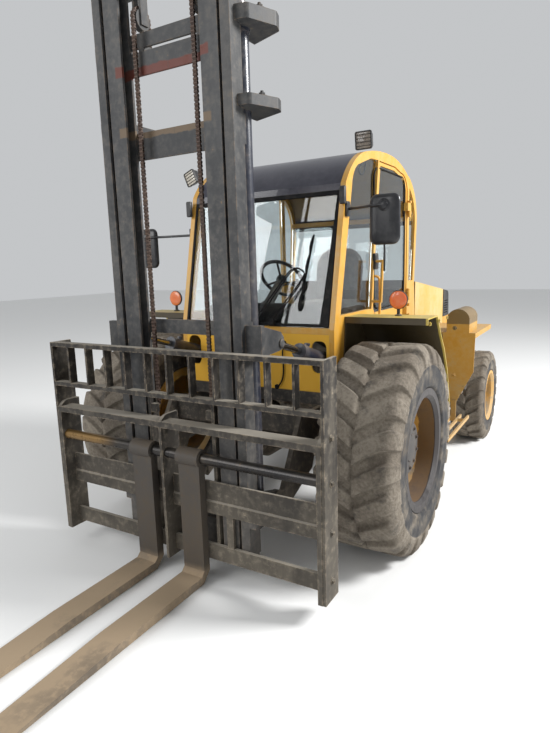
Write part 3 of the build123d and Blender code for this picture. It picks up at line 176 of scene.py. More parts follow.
mud, ins, outs = shader_group(
    "dried mud",
    [
        ("Rubber", COLOUR, (0.022, 0.022, 0.024, 1)), ("Mud", COLOUR, (0.115, 0.096, 0.076, 1)),
        ("Pale Mud", COLOUR, (0.235, 0.205, 0.165, 1)), ("Cover", NUMBER, 0.6),
    ],
)
where = mud.where()
crumbs = mud.noise(where, 60.0, 6.0, 0.7)
caked = mud.span(mud.plus(mud.noise(where, 9.0, 8.0, 0.65), mud.times(ins["Cover"], 0.4)), 0.50, 0.82)
tone = mud.span(mud.times(crumbs, mud.noise(where, 4.0, 3.0)), 0.12, 0.38)
mud.fill(outs, {
    "Color": mud.blend(caked, ins["Rubber"], mud.blend(tone, ins["Mud"], ins["Pale Mud"])),
    "Roughness": mud.span(caked, 0.0, 1.0, 0.62, 0.95),
    "Height": mud.plus(mud.times(caked, 0.7), mud.times(crumbs, 0.6)),
})
tread_rubber = material("muddy tread", mud, {"Cover": 0.8}, bump=0.7, depth=0.006, specular=0.25)
wall_rubber = material("dusty sidewall", mud, {"Cover": 0.22}, bump=0.3, depth=0.003, specular=0.3)

AXLE_Y = -0.3995
REAR_AXLE_Y = AXLE_Y + 2.4
WHEELS = {"front": (0.895, AXLE_Y, 0.623), "rear": (0.930, REAR_AXLE_Y, 0.424)}


def smooth_step(value):
    """0 below 0, 1 above 1 and an S between."""
    value = min(max(value, 0.0), 1.0)
    return value * value * (3 - 2 * value)


def tyre(end, side, centre, radius, width, depth, bars, bead, flange, seed):
    """A tyre as one skin: its profile swept round the axle, raised where a bar stands."""
    half = width / 2
    tread = radius - depth
    wall = tread - bead
    profile = [
        # radius, share of the half width, share of a bar's height, way out (radius, along)
        (bead, 0.30, 0, 0, 0), (bead, 0.875, 0, 0, 0), (flange + 0.001, 0.877, 0, 0, 0),
        (flange + 0.004, 0.925, 0, 0, 0), (flange + 0.05 * wall, 0.965, 0, 0, 0),
        (flange + 0.09 * wall, 0.985, 0, 0, 0), (flange + 0.12 * wall, 0.972, 0, 0, 0),
        (flange + 0.24 * wall, 0.985, 0, 0, 0), (bead + 0.50 * wall, 0.995, 0, 0, 1),
        (bead + 0.60 * wall, 0.992, 0, 0, 1), (bead + 0.665 * wall, 0.982, 0.0, 0.1, 1),
        (bead + 0.68 * wall, 0.978, 0.25, 0.1, 1), (bead + 0.72 * wall, 0.966, 0.32, 0.25, 0.9),
        (bead + 0.80 * wall, 0.945, 0.40, 0.4, 0.85), (bead + 0.87 * wall, 0.915, 0.60, 0.6, 0.7),
        (bead + 0.93 * wall, 0.875, 0.80, 0.75, 0.5), (bead + 0.975 * wall, 0.825, 0.93, 0.92, 0.3),
        (tread, 0.76, 1, 1, 0.1), (tread, 0.68, 1, 1, 0), (tread, 0.56, 1, 1, 0), (tread, 0.44, 1, 1, 0),
        (tread, 0.32, 1, 1, 0), (tread, 0.20, 1, 1, 0), (tread, 0.10, 1, 1, 0), (tread, 0.05, 0.95, 1, 0),
        (tread, 0.025, 0.6, 1, 0),
    ]
    rows = [(r, -a * half, h, outward, -along) for r, a, h, outward, along in profile]
    rows += [(tread, 0, 0.12, 1, 0)] + [(r, a * half, *more) for r, a, *more in profile[::-1]]
    bar_half, slope, slant = 0.3, 0.036, 0.62
    steps = [0.0, 0.25, 0.5, 0.75]
    for edge in (0.5 - bar_half, 0.5 + bar_half, bar_half, 1 - bar_half):
        steps += [edge + slope * share for share in (-1.3, -0.5, 0.0, 0.5, 1.3)]
    around = [(bar + step) / bars for bar in range(bars) for step in sorted(steps)]
    way = 1 if centre[0] > 0 else -1
    points, treads = [], []
    for r, along, share, outward, sideways in rows:
        reach = min(abs(along) / (0.86 * half), 1.0)
        lean = slant * (1 - (1 - reach) ** 1.35)
        row_start = 0.5 if along > 0 else 0.0
        for turn in around:
            place = (turn * bars + row_start) % 1.0
            edge = bar_half - abs(place - 0.5)
            raised = smooth_step((edge / slope + 1.3) / 2.6) * share * depth
            angle = 2 * math.pi * (turn - (lean - slant / 2) / bars)
            spot = Vector((along, math.cos(angle) * r, math.sin(angle) * r)) * 9 + Vector((seed, seed, 0))
            rough = 0.004 * texture_noise.noise(spot) + 0.003 * texture_noise.noise(spot * 3.7)
            rough = min(rough, 0.0) * (1 if raised > 0.5 * depth else 0.4) - 0.0006
            height = raised + (rough if share else 0.0)
            out = r + height * outward
            shift = Vector((way * (along + height * sideways), out * math.cos(angle), out * math.sin(angle)))
            points.append(Vector(centre) + shift)
            treads.append(share > 0.2)
    count, lines = len(around), len(rows)
    faces = []
    for line in range(lines):
        low, high = line * count, (line + 1) % lines * count
        for n in range(count):
            after = (n + 1) % count
            corner = (low + n, low + after, high + after, high + n)
            faces.append(corner if way < 0 else corner[::-1])
    name = f"tread_{end}_{side}"
    mesh = bpy.data.meshes.new(name)
    mesh.from_pydata(points, [], faces)
    piece = made_piece(name, mesh, wall_rubber, f"wheel_{end}_{side}")
    mesh.materials.append(tread_rubber)
    mesh.polygons.foreach_set("material_index", [int(treads[face[0]] or treads[face[2]]) for face in faces])
    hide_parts(f"tyre_{end}_{side}")


for side, way, seed in (("left", 1, 3.1), ("right", -1, 17.9)):
    for end, sizes, shift in (
        ("front", (0.623, 0.470, 0.032, 22, 0.318, 0.366), 0),
        ("rear", (0.424, 0.300, 0.022, 20, 0.210, 0.240), 5),
    ):
        x, y, z = WHEELS[end]
        tyre(end, side, (way * x, y, z), *sizes, seed + shift)


# Wheel discs and hubs. Pressed steel discs welded in rolled rims and sprayed body yellow, dusty and
# chipped, on grey cast hubs held by hexagon nuts on studs, with a ring of cover bolts round each hub.
def geometry_group(name, inputs):
    """A Geometry Nodes tree that grows something on points and gives it a material."""
    ends = [("Geometry", "NodeSocketGeometry", None), ("Material", "NodeSocketMaterial", None)]
    return group(name, "GeometryNodeTree", [*ends, *inputs], [("Geometry", "NodeSocketGeometry")])


def cylinder(make, sides, radius, length):
    """A cylinder along Z round the origin."""
    return make.out("GeometryNodeMeshCylinder", {"Vertices": sides, "Radius": radius, "Depth": length})


def on_axis(make, axis, far):
    """A vector along one axis."""
    return make.out("ShaderNodeCombineXYZ", {axis: far})


def moved(make, shape, axis, far):
    """Moves a shape along an axis."""
    return make.out("GeometryNodeTransform", {"Geometry": shape, "Translation": on_axis(make, axis, far)})


def joined(make, *shapes):
    """Several shapes as one."""
    whole = make.put("GeometryNodeJoinGeometry")
    for shape in shapes:
        make.fill(whole, {0: shape})
    return whole.outputs[0]


def aligned(make, axis, vector, pivot="AUTO", start=(0, 0, 0)):
    """A rotation that turns one axis along a vector."""
    values = {"Rotation": start, "Vector": vector}
    return make.out("FunctionNodeAlignRotationToVector", values, axis=axis, pivot_axis=pivot)


def on_points(make, ins, outs, shape, turn):
    """Instances a shape on the points, realizes it and hands it out with the material."""
    values = {"Points": ins["Geometry"], "Instance": shape, "Rotation": turn}
    placed = make.out("GeometryNodeInstanceOnPoints", values)
    solid = make.out("GeometryNodeRealizeInstances", {0: placed})
    made = make.out("GeometryNodeSetMaterial", {"Geometry": solid, "Material": ins["Material"]})
    make.fill(outs, {0: made})


def aim_of(make):
    """The points' aim."""
    return make.out("GeometryNodeInputNamedAttribute", {"Name": "aim"}, "Attribute", data_type="FLOAT_VECTOR")


def grown(name, maker, spots, values, body):
    """A plain mesh grown by a tree on spots of (point, aim), riding on a body."""
    mesh = bpy.data.meshes.new(name)
    mesh.from_pydata([point for point, _ in spots], [], [])
    aims = mesh.attributes.new("aim", "FLOAT_VECTOR", "POINT")
    aims.data.foreach_set("vector", [number for _, aim in spots for number in aim])
    seedling = bpy.data.objects.new(f"{name}_points", mesh)
    link(seedling)
    modifier = seedling.modifiers.new("grow", "NODES")
    modifier.node_group = maker.tree
    for item in maker.tree.interface.items_tree:
        if item.in_out == "INPUT" and item.name in values:
            modifier[item.identifier] = values[item.name]
    plain = bpy.data.meshes.new_from_object(seedling.evaluated_get(bpy.context.evaluated_depsgraph_get()))
    bpy.data.objects.remove(seedling)
    return made_piece(name, plain, None, body, smooth=False)


bolt, ins, outs = geometry_group(
    "bolts", [("Across", NUMBER, 0.02), ("Head Height", NUMBER, 0.01), ("Stud", NUMBER, 0.0)]
)
across, head_height = ins["Across"], ins["Head Height"]
head = cylinder(bolt, 6, bolt.times(across, 0.577), head_height)
washer = cylinder(bolt, 14, bolt.times(across, 0.8), bolt.times(head_height, 0.35))
stud = cylinder(bolt, 8, bolt.times(across, 0.28), ins["Stud"])
whole = joined(
    bolt, moved(bolt, head, "Z", bolt.times(head_height, 0.5)), moved(bolt, stud, "Z", head_height), washer
)
on_points(bolt, ins, outs, whole, aligned(bolt, "Z", aim_of(bolt)))


def bolts(name, spots, across, height, finish, body, slot, stud=0.0):
    """Hexagon heads on washers, with studs where they have a length."""
    values = {"Across": across, "Head Height": height, "Stud": stud, "Material": finish}
    return grown(name, bolt, spots, values, body)


def from_rings(name, rings, finish, body, caps=True, sharp=40):
    """A skin over rings of equal length, capped at both ends, facing outwards, its hard edges kept."""
    skin = bmesh.new()
    loops = [[skin.verts.new(point) for point in ring] for ring in rings]
    count = len(rings[0])
    for low, high in zip(loops, loops[1:]):
        for n in range(count):
            after = (n + 1) % count
            skin.faces.new((low[n], low[after], high[after], high[n]))
    if caps:
        skin.faces.new(loops[0][::-1])
        skin.faces.new(loops[-1])
    bmesh.ops.remove_doubles(skin, verts=skin.verts, dist=1e-6)
    bmesh.ops.recalc_face_normals(skin, faces=skin.faces)
    for edge in skin.edges:
        edge.smooth = len(edge.link_faces) == 2 and edge.calc_face_angle(0.0) < math.radians(sharp)
    mesh = bpy.data.meshes.new(name)
    skin.to_mesh(mesh)
    skin.free()
    return made_piece(name, mesh, finish, body)


def ring_of(count, radius, centre, axis, start=0.0):
    """Spots evenly round a circle, each aimed along the axis."""
    axis = Vector(axis).normalized()
    across = axis.orthogonal().normalized()
    upright = axis.cross(across)
    turns = (start + 2 * math.pi * n / count for n in range(count))
    return [(Vector(centre) + (across * math.cos(t) + upright * math.sin(t)) * radius, axis) for t in turns]


def turned(name, sections, centre, axis, finish, body, slot, steps=40, caps=True):
    """A turned piece from sections of (radius, distance along the axis)."""
    middle, along = Vector(centre), Vector(axis).normalized()
    rings = [[spot for spot, _ in ring_of(steps, r, middle + along * far, axis)] for r, far in sections]
    return from_rings(name, rings, finish, body, caps, 28)


worn_paint, ins, outs = shader_group(
    "worn paint",
    [
        ("Paint", COLOUR, (0.6, 0.4, 0.1, 1)), ("Faded", COLOUR, (0.6, 0.45, 0.2, 1)),
        ("Rust", COLOUR, (0.14, 0.06, 0.03, 1)), ("Dust", COLOUR, (0.30, 0.25, 0.19, 1)),
        ("Wear", NUMBER, 0.5), ("Dirt", NUMBER, 0.5), ("Edge Width", NUMBER, 0.004), ("Gloss", NUMBER, 0.4),
    ],
)
make = worn_paint
where, facing = make.where(), make.facing()
rounded = make.out("ShaderNodeBevel", {"Radius": ins["Edge Width"]}, samples=4)
likeness = make.out("ShaderNodeVectorMath", {0: rounded, 1: facing}, "Value", operation="DOT_PRODUCT")
patches = make.noise(where, 2.3, 5.0)
blotches = make.noise(where, 26.0, 7.0, 0.65)
grain = make.noise(where, 240.0, 3.0)
streaked = make.out("ShaderNodeMapping", {"Vector": where, "Scale": (9.0, 9.0, 0.9)})
streaks = make.noise(streaked, 1.0, 6.0, 0.6)
edge_chips = make.times(make.span(likeness, 0.995, 0.90), make.span(blotches, 0.40, 0.60))
chips = make.maths("MAXIMUM", edge_chips, make.span(blotches, 0.66, 0.72))
chips = make.times(chips, ins["Wear"], clamp=True)
settled = make.plus(
    make.times(make.span(make.part(facing, "Z"), 0.3, 0.95), 0.55),
    make.times(make.span(make.part(where, "Z"), 1.3, 0.1), 0.5),
    make.span(streaks, 0.45, 0.75, 0.0, 0.35), make.span(blotches, 0.48, 0.66, 0.0, 0.45),
)
dirty = make.times(ins["Dirt"], make.span(patches, 0.3, 0.7, 0.4, 1.2))
dusted = make.times(settled, dirty, clamp=True)
mottled = make.plus(make.times(streaks, 0.4), make.times(blotches, 0.6))
faded = make.span(make.times(mottled, make.plus(patches, 0.5)), 0.3, 0.7)
colour = make.blend(chips, make.blend(faded, ins["Paint"], ins["Faded"]), ins["Rust"])
dulled = make.plus(make.times(chips, 0.35), make.times(dusted, 0.5), make.times(blotches, 0.1))
make.fill(outs, {
    "Color": make.blend(dusted, colour, ins["Dust"]),
    "Roughness": make.plus(ins["Gloss"], dulled, clamp=True),
    "Height": make.plus(make.times(chips, -0.6), make.times(grain, 0.25)),
})


RUST, DUST = (0.14, 0.06, 0.03), (0.30, 0.25, 0.19)


def worn(name, paint, faded, wear, dirt, gloss, rust=RUST, dust=DUST, edge=0.004, **look):
    """A finish of worn paint: its colours, how worn, dirty and rough it is, and how wide its edges wear."""
    colours = {"Paint": paint, "Faded": faded, "Rust": rust, "Dust": dust}
    values = {label: (*colour, 1) for label, colour in colours.items()}
    values.update({"Wear": wear, "Dirt": dirt, "Gloss": gloss, "Edge Width": edge})
    return material(name, worn_paint, values, **look)


def zone(finish, axis, low, high, ragged=0.0, soft=0.004):
    """A mask on a finish: 1 where the distance along an axis is between two values, with a ragged border."""
    make = Maker(finish.node_tree)
    where = make.where()
    far = make.part(where, axis)
    if axis == "X":
        far = make.maths("ABSOLUTE", far)
    if ragged:
        far = make.plus(far, make.times(make.maths("SUBTRACT", make.noise(where, 14.0, 6.0)), ragged))
    return make.times(make.span(far, low - soft, low + soft), make.span(far, high + soft, high - soft))


def looking(finish, low, high):
    """A mask on a finish: rises from 0 to 1 as the surface's upward slope goes from low to high."""
    make = Maker(finish.node_tree)
    return make.span(make.part(make.facing(), "Z"), low, high)


def coat_over(finish, masks, colour, share=1.0):
    """Lays one more colour over a finish where all the masks are 1."""
    make = Maker(finish.node_tree)
    shader = finish.node_tree.nodes["Principled BSDF"]
    below = shader.inputs["Base Color"].links[0].from_socket
    cover = make.times(masks[0], share, *masks[1:])
    make.fill(shader, {"Base Color": make.blend(cover, below, (*colour, 1))})


YELLOW, SUN_YELLOW = (0.60, 0.295, 0.028), (0.63, 0.37, 0.085)
rim_paint, rear_rim_paint = (
    worn(name, YELLOW, SUN_YELLOW, 0.8, 0.7, 0.42) for name in ("rim yellow", "rear rim yellow")
)
# Painted shade with dirt: the front rims are darkened to brown from 0.985 m out, and to near black from 1.088
# m out at the outer lip.
coat_over(rim_paint, [zone(rim_paint, "X", 0.985, 1.30, 0.04)], (0.085, 0.048, 0.026), 0.85)
coat_over(rim_paint, [zone(rim_paint, "X", 1.088, 1.30, 0.012)], (0.030, 0.028, 0.030), 0.95)
hub_iron = worn("hub iron", (0.026, 0.025, 0.026), (0.055, 0.050, 0.048), 0.6, 0.25, 0.5)
paint(rim_paint, "rim_front_left", "rim_front_right")
paint(rear_rim_paint, "rim_rear_left", "rim_rear_right")
SIDES = (("left", 1), ("right", -1))
for side, way in SIDES:
    for end, disc, hub, cap, circle, count in (
        ("front", -0.070, 0.150, 0.130, 0.208, 10), ("rear", 0.010, 0.095, 0.090, 0.135, 8),
    ):
        x, y, z = WHEELS[end]
        look = hub_iron, f"wheel_{end}_{side}", "axle_iron"
        drum = [
            (hub + 0.026, disc + 0.001), (hub + 0.026, disc + 0.012), (0.88 * hub, disc + 0.034),
            (0.84 * hub, cap - 0.052), (1.05 * hub, cap - 0.042), (1.05 * hub, cap - 0.006),
            (1.01 * hub, cap), (0.55 * hub, cap + 0.001), (0.53 * hub, cap + 0.010),
            (0.30 * hub, cap + 0.013), (0.001, cap + 0.013),
        ]
        turned(f"hub_{end}_{side}", drum, (way * x, y, z), (way, 0, 0), *look, steps=56)
        nuts, cap_bolts = (
            [
                ((way * (x + far), y + radius * math.cos(angle), z + radius * math.sin(angle)), (way, 0, 0))
                for angle in (start + 2 * math.pi * n / count for n in range(count))
            ]
            for far, radius, start in ((disc + 0.002, circle, 0.0), (cap + 0.001, 0.82 * hub, 0.3))
        )
        bolts(f"wheel_nuts_{end}_{side}", nuts, 0.032, 0.020, *look, stud=0.022)
        bolts(f"hub_bolts_{end}_{side}", cap_bolts, 0.018, 0.009, *look)


# Frame, axles and tanks. Flame-cut plate, castings and folded tanks in dark chassis paint, oily and dusty,
# with a bolted cover on the drive axle, grease nipples on the kingpins and filler caps on the tanks.
chassis_paint = worn(
    "chassis grey", (0.026, 0.026, 0.028), (0.055, 0.052, 0.048), 0.6, 0.9, 0.45, specular=0.2,
)
paint(chassis_paint, "frame", "front_axle", "rear_axle", "knuckle_left", "knuckle_right", "tanks")
LEFT, BACK, FRONT, UP = (1, 0, 0), (0, 1, 0), (0, -1, 0), (0, 0, 1)
axle_low, axle_high = (Vector(corner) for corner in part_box("front_axle"))
housing = Vector((0, axle_low.y, (axle_low.z + axle_high.z) / 2))
pan = [(0.150, -0.012), (0.150, 0.006), (0.142, 0.010), (0.112, 0.030), (0.065, 0.044), (0.001, 0.048)]
look = chassis_paint, "chassis", "axle_iron"
turned("axle_cover", pan, housing, FRONT, *look, steps=48)
bolts("axle_cover_bolts", ring_of(12, 0.134, housing + Vector((0, -0.008, 0)), FRONT), 0.018, 0.010, *look)
_, tank_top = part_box("tanks")
kingpin_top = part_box("knuckle_left")[1][2] - 0.004
cap = [(0.046, 0.030), (0.046, 0.037), (0.052, 0.038), (0.052, 0.058), (0.046, 0.064), (0.001, 0.065)]
nipple = [(0.016, 0.0), (0.016, 0.006), (0.006, 0.007), (0.005, 0.016), (0.001, 0.018)]
for side, way in SIDES:
    neck = (way * 0.925, tank_top[1] - 0.10, tank_top[2] - 0.25)
    turned(f"tank_cap_{side}", cap, neck, (way, 0, 0), chassis_paint, "chassis", "tank_paint", steps=24)
    kingpin = (way * 0.690, REAR_AXLE_Y, kingpin_top)
    turned(f"grease_cap_{side}", nipple, kingpin, UP, chassis_paint, f"knuckle_{side}", "axle_iron", steps=16)


# Counterweight, engine and radiator cowl. A rough yellow iron casting behind, the engine's block with its
# covers and air cleaner in front of it, and a folded cowl with a slatted outlet over the radiator.
body_yellow = worn("body yellow", YELLOW, SUN_YELLOW, 0.5, 0.30, 0.30, coat=0.15)
cast_yellow = worn(
    "cast yellow", YELLOW, (0.50, 0.28, 0.05), 0.9, 0.55, 0.5, edge=0.010, bump=0.6, depth=0.004,
)
engine_iron = worn(
    "engine iron", (0.05, 0.05, 0.052), (0.09, 0.08, 0.07), 0.8, 0.5, 0.4, (0.05, 0.035, 0.025), metallic=0.3,
)
black_plastic = worn(
    "black plastic", (0.012, 0.012, 0.013), (0.028, 0.028, 0.030), 0.25, 0.35, 0.38, (0.05, 0.05, 0.05),
    edge=0.002, bump=0.15, depth=0.001,
)
paint(cast_yellow, "counterweight")
paint(engine_iron, "engine")
paint(black_plastic, "radiator_grille")
paint(body_yellow, "bay_sides")
weight_low, weight_high = (Vector(corner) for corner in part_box("counterweight"))
weight_bolts = [
    ((way * weight_high.x, weight_low.y + 0.09, z), (way, 0, 0)) for way in (-1, 1) for z in (0.62, 0.98)
]
bolts("counterweight_bolts", weight_bolts, 0.046, 0.020, cast_yellow, "chassis", "body_paint", stud=0.03)
block_low, block_high = (Vector(corner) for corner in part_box("engine"))
block_middle = (block_low + block_high) / 2


def rounded_ring(centre, across, upward, half_width, half_height, corner, steps=5):
    """A rectangle with round corners, as points round its edge."""
    centre, across, upward = Vector(centre), Vector(across).normalized(), Vector(upward).normalized()
    points = []
    for quarter, (sx, sz) in enumerate(((1, 1), (-1, 1), (-1, -1), (1, -1))):
        middle = centre + across * sx * (half_width - corner) + upward * sz * (half_height - corner)
        for step in range(steps + 1):
            angle = math.pi / 2 * (quarter + step / steps)
            points.append(middle + (across * math.cos(angle) + upward * math.sin(angle)) * corner)
    return points


def cover(name, centre, along, upward, sections, finish, body, slot, sharp=35):
    """A housing from sections of (distance, half width, half height, corner radius) along an axis."""
    along, upward = Vector(along).normalized(), Vector(upward).normalized()
    sideways = upward.cross(along)
    rings = [rounded_ring(Vector(centre) + along * far, sideways, upward, *sizes) for far, *sizes in sections]
    return from_rings(name, rings, finish, body, sharp=sharp)


look = engine_iron, "chassis", "engine_iron"
lid = [
    (0.0, 0.105, 0.315, 0.030), (0.012, 0.105, 0.315, 0.030), (0.014, 0.095, 0.305, 0.028),
    (0.050, 0.088, 0.298, 0.030), (0.062, 0.070, 0.280, 0.030),
]
cover("valve_cover", (0, block_middle.y, block_high.z), UP, BACK, lid, *look)
lid_bolts = [
    ((x, block_middle.y + y, block_high.z + 0.011), UP) for x in (-0.10, 0.10) for y in (-0.24, 0.0, 0.24)
]
bolts("valve_cover_bolts", lid_bolts, 0.012, 0.008, *look)
cleaner = [
    (0.040, -0.27), (0.040, -0.21), (0.085, -0.20), (0.090, -0.19), (0.090, 0.12), (0.094, 0.125),
    (0.094, 0.145), (0.088, 0.15), (0.088, 0.19), (0.060, 0.20), (0.001, 0.202),
]
cleaner_place = (0.17, block_middle.y, block_high.z + 0.11)
turned("air_cleaner", cleaner, cleaner_place, FRONT, black_plastic, "chassis", "engine_iron", steps=36)
side_cover = [(0.0, 0.30, 0.16, 0.02), (0.02, 0.30, 0.16, 0.02), (0.024, 0.28, 0.14, 0.02)]
for side, way in SIDES:
    flank = (way * block_high.x, block_middle.y, block_middle.z)
    cover(f"block_cover_{side}", flank, (way, 0, 0), UP, side_cover, *look)
    flank_bolts = [
        ((way * (block_high.x + 0.021), block_middle.y + y, block_middle.z + z), (way, 0, 0))
        for y in (-0.27, -0.09, 0.09, 0.27) for z in (-0.135, 0.135)
    ]
    bolts(f"block_cover_bolts_{side}", flank_bolts, 0.013, 0.008, *look)


# Mast. Two channels and two beams of rolled section with welded ties, dark grey, scraped to rust along
# the edges, with flaked red primer on the ties, painted lift barrels and chromed rods.
mast_grey = worn(
    "mast grey", (0.036, 0.037, 0.039), (0.080, 0.080, 0.080), 0.9, 0.30, 0.42, (0.19, 0.135, 0.09),
    (0.24, 0.20, 0.155), 0.006, bump=0.45, depth=0.003, specular=0.2,
)
barrel_blue = worn(
    "barrel blue black", (0.012, 0.016, 0.030), (0.030, 0.034, 0.048), 0.35, 0.35, 0.25, coat=0.2,
)
rod_chrome = worn(
    "rod chrome", (0.55, 0.55, 0.56), (0.42, 0.40, 0.37), 0.35, 0.25, 0.12, (0.20, 0.13, 0.08),
    edge=0.002, metallic=1.0, bump=0.05,
)
for low, high, ragged, colour in (
    (2.690, 2.738, 0.04, (0.13, 0.034, 0.023)), (2.397, 2.440, 0.035, (0.15, 0.105, 0.065)),
):
    tie = [zone(mast_grey, "X", 0.0, 0.30), zone(mast_grey, "Z", low, high, ragged)]
    coat_over(mast_grey, tie, colour, 0.85)
paint(mast_grey, "mast_outer", "mast_inner")
paint(barrel_blue, "lift_barrels", "tilt_barrel_left", "tilt_barrel_right")
paint(rod_chrome, "lift_rods", "tilt_rod_left", "tilt_rod_right", "steer_rod")
hose_rubber = worn(
    "hose rubber", (0.014, 0.014, 0.014), (0.035, 0.033, 0.030), 0.3, 0.6, 0.55, (0.06, 0.055, 0.05),
    edge=0.001, bump=0.2, specular=0.2,
)


def tube(name, path, radius, finish, body, slot, sides=6, closed=False):
    """A round bar, cable or hose along a smooth path."""
    curve = bpy.data.curves.new(name, "CURVE")
    curve.dimensions = "3D"
    curve.bevel_depth = radius
    curve.bevel_resolution = sides
    curve.use_fill_caps = True
    line = curve.splines.new("NURBS")
    line.points.add(len(path) - 1)
    for spot, place in zip(line.points, path):
        spot.co = (*place, 1)
    line.order_u = 3
    line.use_endpoint_u = not closed
    line.use_cyclic_u = closed
    line.resolution_u = 8
    maker = bpy.data.objects.new(f"{name}_line", curve)
    link(maker)
    mesh = bpy.data.meshes.new_from_object(maker.evaluated_get(bpy.context.evaluated_depsgraph_get()))
    bpy.data.objects.remove(maker)
    return made_piece(name, mesh, finish, body)


BARREL_X = 0.387
barrel_low, barrel_high = (Vector(corner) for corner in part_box("lift_barrels"))
barrel_y, port_z = (barrel_low.y + barrel_high.y) / 2, barrel_low.z + 0.09
gland = [
    (0.030, 0.0), (0.0415, 0.0), (0.0415, -0.035), (0.0455, -0.037), (0.0455, -0.060), (0.0402, -0.063),
    (0.0402, -0.066),
]
port = [(0.014, 0.0), (0.014, 0.030), (0.017, 0.030), (0.017, 0.046), (0.010, 0.048)]
barrel_look = barrel_blue, "mast_outer", "barrel_paint"
mast_look = mast_grey, "mast_outer", "mast_paint"
for side, way in SIDES:
    top = (way * BARREL_X, barrel_y, barrel_high.z)
    turned(f"lift_gland_{side}", gland, top, UP, *barrel_look, steps=36, caps=False)
    port_place = (way * BARREL_X, barrel_high.y - 0.004, port_z)
    turned(f"lift_port_{side}", port, port_place, BACK, *barrel_look, steps=12)
    stop_bolts = [((way * 0.4285, AXLE_Y - 0.805, z), (way, 0, 0)) for z in (2.985, 2.955)]
    bolts(f"mast_stop_bolts_{side}", stop_bolts, 0.024, 0.012, *mast_look)
    ear_bolts = [((way * 0.4995, AXLE_Y - 0.705, z), UP) for z in (2.5015, 2.8795)]
    bolts(f"ear_bolts_{side}", ear_bolts, 0.030, 0.014, *mast_look, stud=0.02)
for side, way in SIDES:
    foot = Vector((way * BARREL_X, barrel_high.y + 0.040, port_z))
    steps = (
        (0, 0, 0), (0, 0.05, 0), (-0.02, 0.075, -0.06), (-0.10, 0.05, -0.13), (-0.24, 0.0, -0.15),
        (-0.387, -0.02, -0.15),
    )
    path = [foot + Vector((way * x, y, z)) for x, y, z in steps]
    tube(f"lift_hose_{side}", path, 0.012, hose_rubber, "mast_outer", "black_plastic")


# Lift chains and sheaves. Leaf chain of stamped plates on rivets, brown with old grease and dust, over
# turned sheaves, from the carriage's lugs to anchors on the fixed mast.
chain_steel = worn(
    "chain steel", (0.045, 0.026, 0.020), (0.085, 0.055, 0.040), 0.7, 0.4, 0.5, (0.12, 0.055, 0.030),
    (0.20, 0.155, 0.115), 0.001, metallic=0.3, bump=0.3,
)
leaf, ins, outs = geometry_group(
    "leaf chain",
    [
        ("Pitch", NUMBER, 0.02), ("Plate Depth", NUMBER, 0.016), ("Plate Wall", NUMBER, 0.003),
        ("Plates", "NodeSocketInt", 3), ("Gap", NUMBER, 0.007), ("Pin", NUMBER, 0.005),
    ],
)
half_pitch = leaf.times(ins["Pitch"], 0.5)
lobe = cylinder(leaf, 10, leaf.times(ins["Plate Depth"], 0.5), ins["Plate Wall"])
waist = {"X": ins["Pitch"], "Y": leaf.times(ins["Plate Depth"], 0.62), "Z": ins["Plate Wall"]}
plate = joined(
    leaf, *(moved(leaf, lobe, "X", leaf.times(half_pitch, end)) for end in (-1, 1)),
    leaf.out("GeometryNodeMeshCube", {"Size": leaf.out("ShaderNodeCombineXYZ", waist)}),
)
row_width = leaf.times(leaf.maths("SUBTRACT", ins["Plates"], 1.0), ins["Gap"])
row = {
    "Count": ins["Plates"], "Start Location": on_axis(leaf, "Z", leaf.times(row_width, -0.5)),
    "Offset": on_axis(leaf, "Z", ins["Gap"]),
}
plate_row = {"Points": leaf.out("GeometryNodeMeshLine", row), "Instance": plate}
rivet = cylinder(leaf, 8, leaf.times(ins["Pin"], 0.5), leaf.plus(row_width, ins["Gap"]))
whole = joined(
    leaf, leaf.out("GeometryNodeInstanceOnPoints", plate_row), moved(leaf, rivet, "X", half_pitch)
)
on_points(leaf, ins, outs, whole, aligned(leaf, "X", aim_of(leaf), "Z", aligned(leaf, "Z", LEFT)))

chain_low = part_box("lift_chains")[0][2]
SHEAVE_X, SHEAVE_Y, SHEAVE_Z, SHEAVE_R, CHAIN_PITCH = 0.189, AXLE_Y - 0.750, 2.968, 0.056, 0.01905


def chain_place(far):
    """The place and the direction at a distance along the chain, from its front end up and over."""
    rise = SHEAVE_Z - chain_low
    if far < rise:
        return Vector((0, SHEAVE_Y - SHEAVE_R, chain_low + far)), Vector(UP)
    angle = (far - rise) / SHEAVE_R
    if angle < math.pi:
        outwards = Vector((0, -math.cos(angle), math.sin(angle)))
        heading = Vector((0, math.sin(angle), math.cos(angle)))
        return Vector((0, SHEAVE_Y, SHEAVE_Z)) + outwards * SHEAVE_R, heading
    return Vector((0, SHEAVE_Y + SHEAVE_R, SHEAVE_Z - (far - rise - math.pi * SHEAVE_R))), Vector((0, 0, -1))


rear_end = 2.8502
chain_length = SHEAVE_Z - chain_low + math.pi * SHEAVE_R + SHEAVE_Z - rear_end
link_count = int(chain_length / CHAIN_PITCH)
for side, way in SIDES:
    for row_name, plates, first in (("outer", 3, 0), ("inner", 4, 1)):
        spots = [chain_place((n + 0.5) * chain_length / link_count) for n in range(first, link_count, 2)]
        spots = [(spot + Vector((way * SHEAVE_X, 0, 0)), aim) for spot, aim in spots]
        values = {
            "Pitch": CHAIN_PITCH, "Plate Depth": 0.0165, "Plate Wall": 0.0030, "Plates": plates,
            "Gap": 0.0064, "Pin": 0.006, "Material": chain_steel,
        }
        grown(f"chain_{row_name}_{side}", leaf, spots, values, "mast_inner")
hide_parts("lift_chains")
paint(mast_grey, "sheaves")
half_wheel = [(0.018, -0.017), (0.030, -0.019), (0.050, -0.018), (0.0515, -0.0165), (0.0460, -0.0150)]
wheel = half_wheel + [(radius, -along) for radius, along in half_wheel[::-1]]
